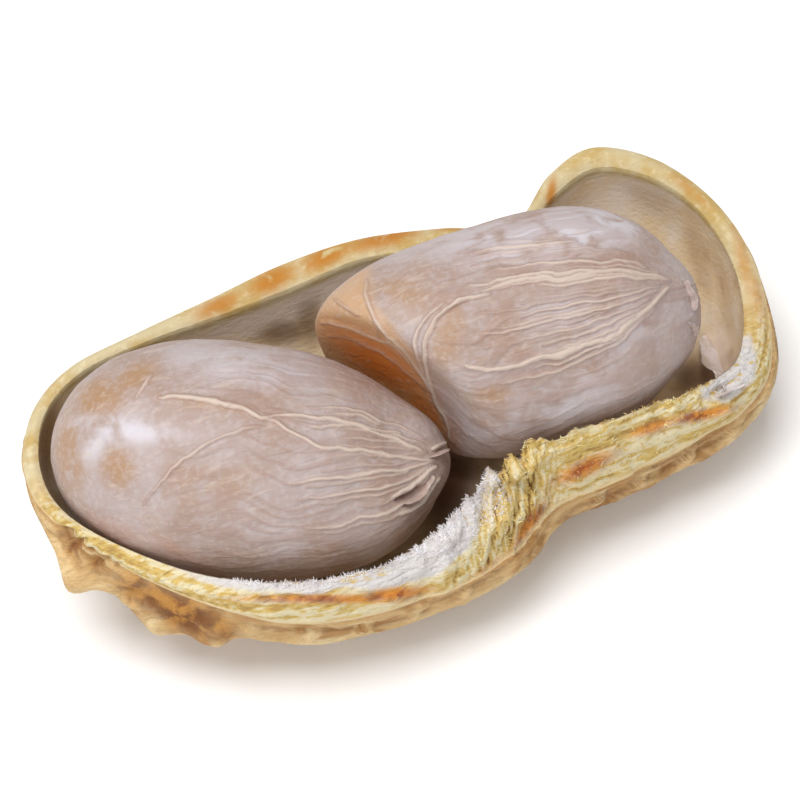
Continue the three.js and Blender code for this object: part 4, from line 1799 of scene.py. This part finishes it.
    def fibre(
        self,
        nodes: bpy.types.Nodes,
        links: bpy.types.NodeLinks,
        given: bpy.types.Node,
    ) -> bpy.types.NodeSocket:
        """One bent fibre that thins towards its end."""
        line = nodes.new("GeometryNodeCurveQuadraticBezier")
        line.inputs["Resolution"].default_value = self.bends
        line.inputs["Start"].default_value = (0.0, 0.0, 0.0)
        for name, reach in (("Middle", self.middle), ("End", self.tip)):
            scaled = nodes.new("ShaderNodeVectorMath")
            scaled.operation = "SCALE"
            scaled.inputs[0].default_value = reach
            links.new(given.outputs["Length"], scaled.inputs["Scale"])
            links.new(scaled.outputs["Vector"], line.inputs[name])
        share = nodes.new("GeometryNodeSplineParameter")
        thin = nodes.new("ShaderNodeMapRange")
        thin.inputs["To Min"].default_value = 1.0
        thin.inputs["To Max"].default_value = self.tip_share
        links.new(share.outputs["Factor"], thin.inputs["Value"])
        width = nodes.new("GeometryNodeCurvePrimitiveCircle")
        width.inputs["Resolution"].default_value = self.sides
        links.new(given.outputs["Thickness"], width.inputs["Radius"])
        tube = nodes.new("GeometryNodeCurveToMesh")
        tube.inputs["Fill Caps"].default_value = True
        links.new(line.outputs["Curve"], tube.inputs["Curve"])
        links.new(width.outputs["Curve"], tube.inputs["Profile Curve"])
        links.new(thin.outputs["Result"], tube.inputs["Scale"])
        return tube.outputs["Mesh"]

    def build(self, shell: Shell) -> bpy.types.Object:
        """Makes the fibres as a plain mesh."""
        piece = self.strip(shell)
        material = self.finish.make()
        tree = self.tree(material)
        modifier = piece.modifiers.new("tufts", "NODES")
        modifier.node_group = tree
        sizes = {
            "Density": self.density / METRES_PER_MM**2,
            "Length": self.length * METRES_PER_MM,
            "Thickness": self.thickness * METRES_PER_MM / 2,
            "Lean": self.lean,
            "Rise": self.rise,
            "Seed": self.seed,
        }
        for item in tree.interface.items_tree:
            if item.in_out == "INPUT" and item.name in sizes:
                modifier[item.identifier] = sizes[item.name]
        evaluated = piece.evaluated_get(bpy.context.evaluated_depsgraph_get())
        mesh = bpy.data.meshes.new_from_object(evaluated)
        piece.modifiers.clear()
        piece.data = mesh
        mesh.name = self.name
        finish_piece(piece, material)
        return piece


LINING_SCRAPS = (
    Scrap("film_right", [(728, 396), (724, 376), (718, 354), (708, 336)], 1.0, (-0.4, 0.0, 0.9), -0.3, 4),
    Scrap("film_lip", [(704, 402), (716, 398), (730, 392), (744, 384)], 0.6, (0.0, 0.0, 1.2), 0.2, 7),
)
WHITE_FIBRE = FibreFinish("pith_fibre", srgb(236, 233, 236), srgb(212, 204, 204))
STRAW_FIBRE = FibreFinish("straw_fibre", srgb(232, 219, 164), srgb(200, 160, 84))


UPWARD = (0.0, 1.6, 1.8)
LEVEL = (0.0, 0.0, 0.0)


def all_tufts() -> list[Tufts]:
    """Every band of loose fibres along the torn lip."""
    return [
        Tufts("pith_fringe", 3.2, 7.4, (0.0, 0.12), 260.0, 0.14, 0.05, 1.0, UPWARD, 5, WHITE_FIBRE),
        Tufts("straw_fringe", 7.2, 11.2, (0.0, 0.1), 90.0, 0.11, 0.06, 1.2, UPWARD, 8, STRAW_FIBRE),
        Tufts("pith_waist", 5.7, 7.4, (0.0, 0.4), 160.0, 0.14, 0.05, 1.4, LEVEL, 6, WHITE_FIBRE),
        Tufts("torn_fibres", 6.6, 11.0, (0.1, 0.8), 12.0, 0.24, 0.05, 1.5, LEVEL, 7, STRAW_FIBRE),
    ]


@dataclass
class Studio:
    """A pale floor and soft light from all round."""

    floor_side: float = 3.0
    floor_colour: tuple = srgb(248, 248, 248)
    sky_strength: float = 0.38

    def floor(self) -> bpy.types.Object:
        """The floor under the pod."""
        half = self.floor_side / 2
        corners = [(-half, -half, 0.0), (half, -half, 0.0), (half, half, 0.0), (-half, half, 0.0)]
        mesh = bpy.data.meshes.new("floor")
        mesh.from_pydata(corners, [], [(0, 1, 2, 3)])
        material = bpy.data.materials.new("floor_finish")
        material.use_nodes = True
        shader = material.node_tree.nodes["Principled BSDF"]
        shader.inputs["Base Color"].default_value = self.floor_colour
        shader.inputs["Roughness"].default_value = 0.9
        mesh.materials.append(material)
        floor = bpy.data.objects.new("floor", mesh)
        bpy.context.scene.collection.objects.link(floor)
        return floor

    def lamp(self, name: str, place: Point3, side: float, power: float) -> bpy.types.Object:
        """A square soft lamp aimed at the pod."""
        data = bpy.data.lights.new(name, "AREA")
        data.shape = "SQUARE"
        data.size = side
        data.energy = power
        lamp = bpy.data.objects.new(name, data)
        turn = Vector(place).to_track_quat("Z", "Y").to_matrix().to_4x4()
        lamp.matrix_world = Matrix.Translation(Vector(place)) @ turn
        bpy.context.scene.collection.objects.link(lamp)
        return lamp

    def build(self) -> None:
        """Makes the floor, the sky and the lamps."""
        self.floor()
        world = bpy.data.worlds.new("studio")
        world.use_nodes = True
        back = world.node_tree.nodes["Background"]
        back.inputs["Color"].default_value = (1.0, 1.0, 1.0, 1.0)
        back.inputs["Strength"].default_value = self.sky_strength
        bpy.context.scene.world = world
        bpy.context.scene.view_settings.view_transform = "Standard"
        self.lamp("key_light", (-0.06, 0.02, 0.38), 0.24, 1.4)
        self.lamp("fill_light", (-0.24, -0.28, 0.24), 0.36, 0.7)


def main() -> None:
    """Builds the camera, the studio and every piece."""
    logging.basicConfig(level=logging.INFO, format="%(name)s: %(message)s")
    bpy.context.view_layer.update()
    PHOTO.build()
    Studio().build()
    shell = Shell(scraps=LINING_SCRAPS)
    pieces = [*shell.build(), *front_kernel().build(), *back_kernel().build()]
    pieces += [tufts.build(shell) for tufts in all_tufts()]
    for piece in pieces:
        LOG.info("%s: %d faces", piece.name, len(piece.data.polygons))


if __name__ == "__main__":
    main()
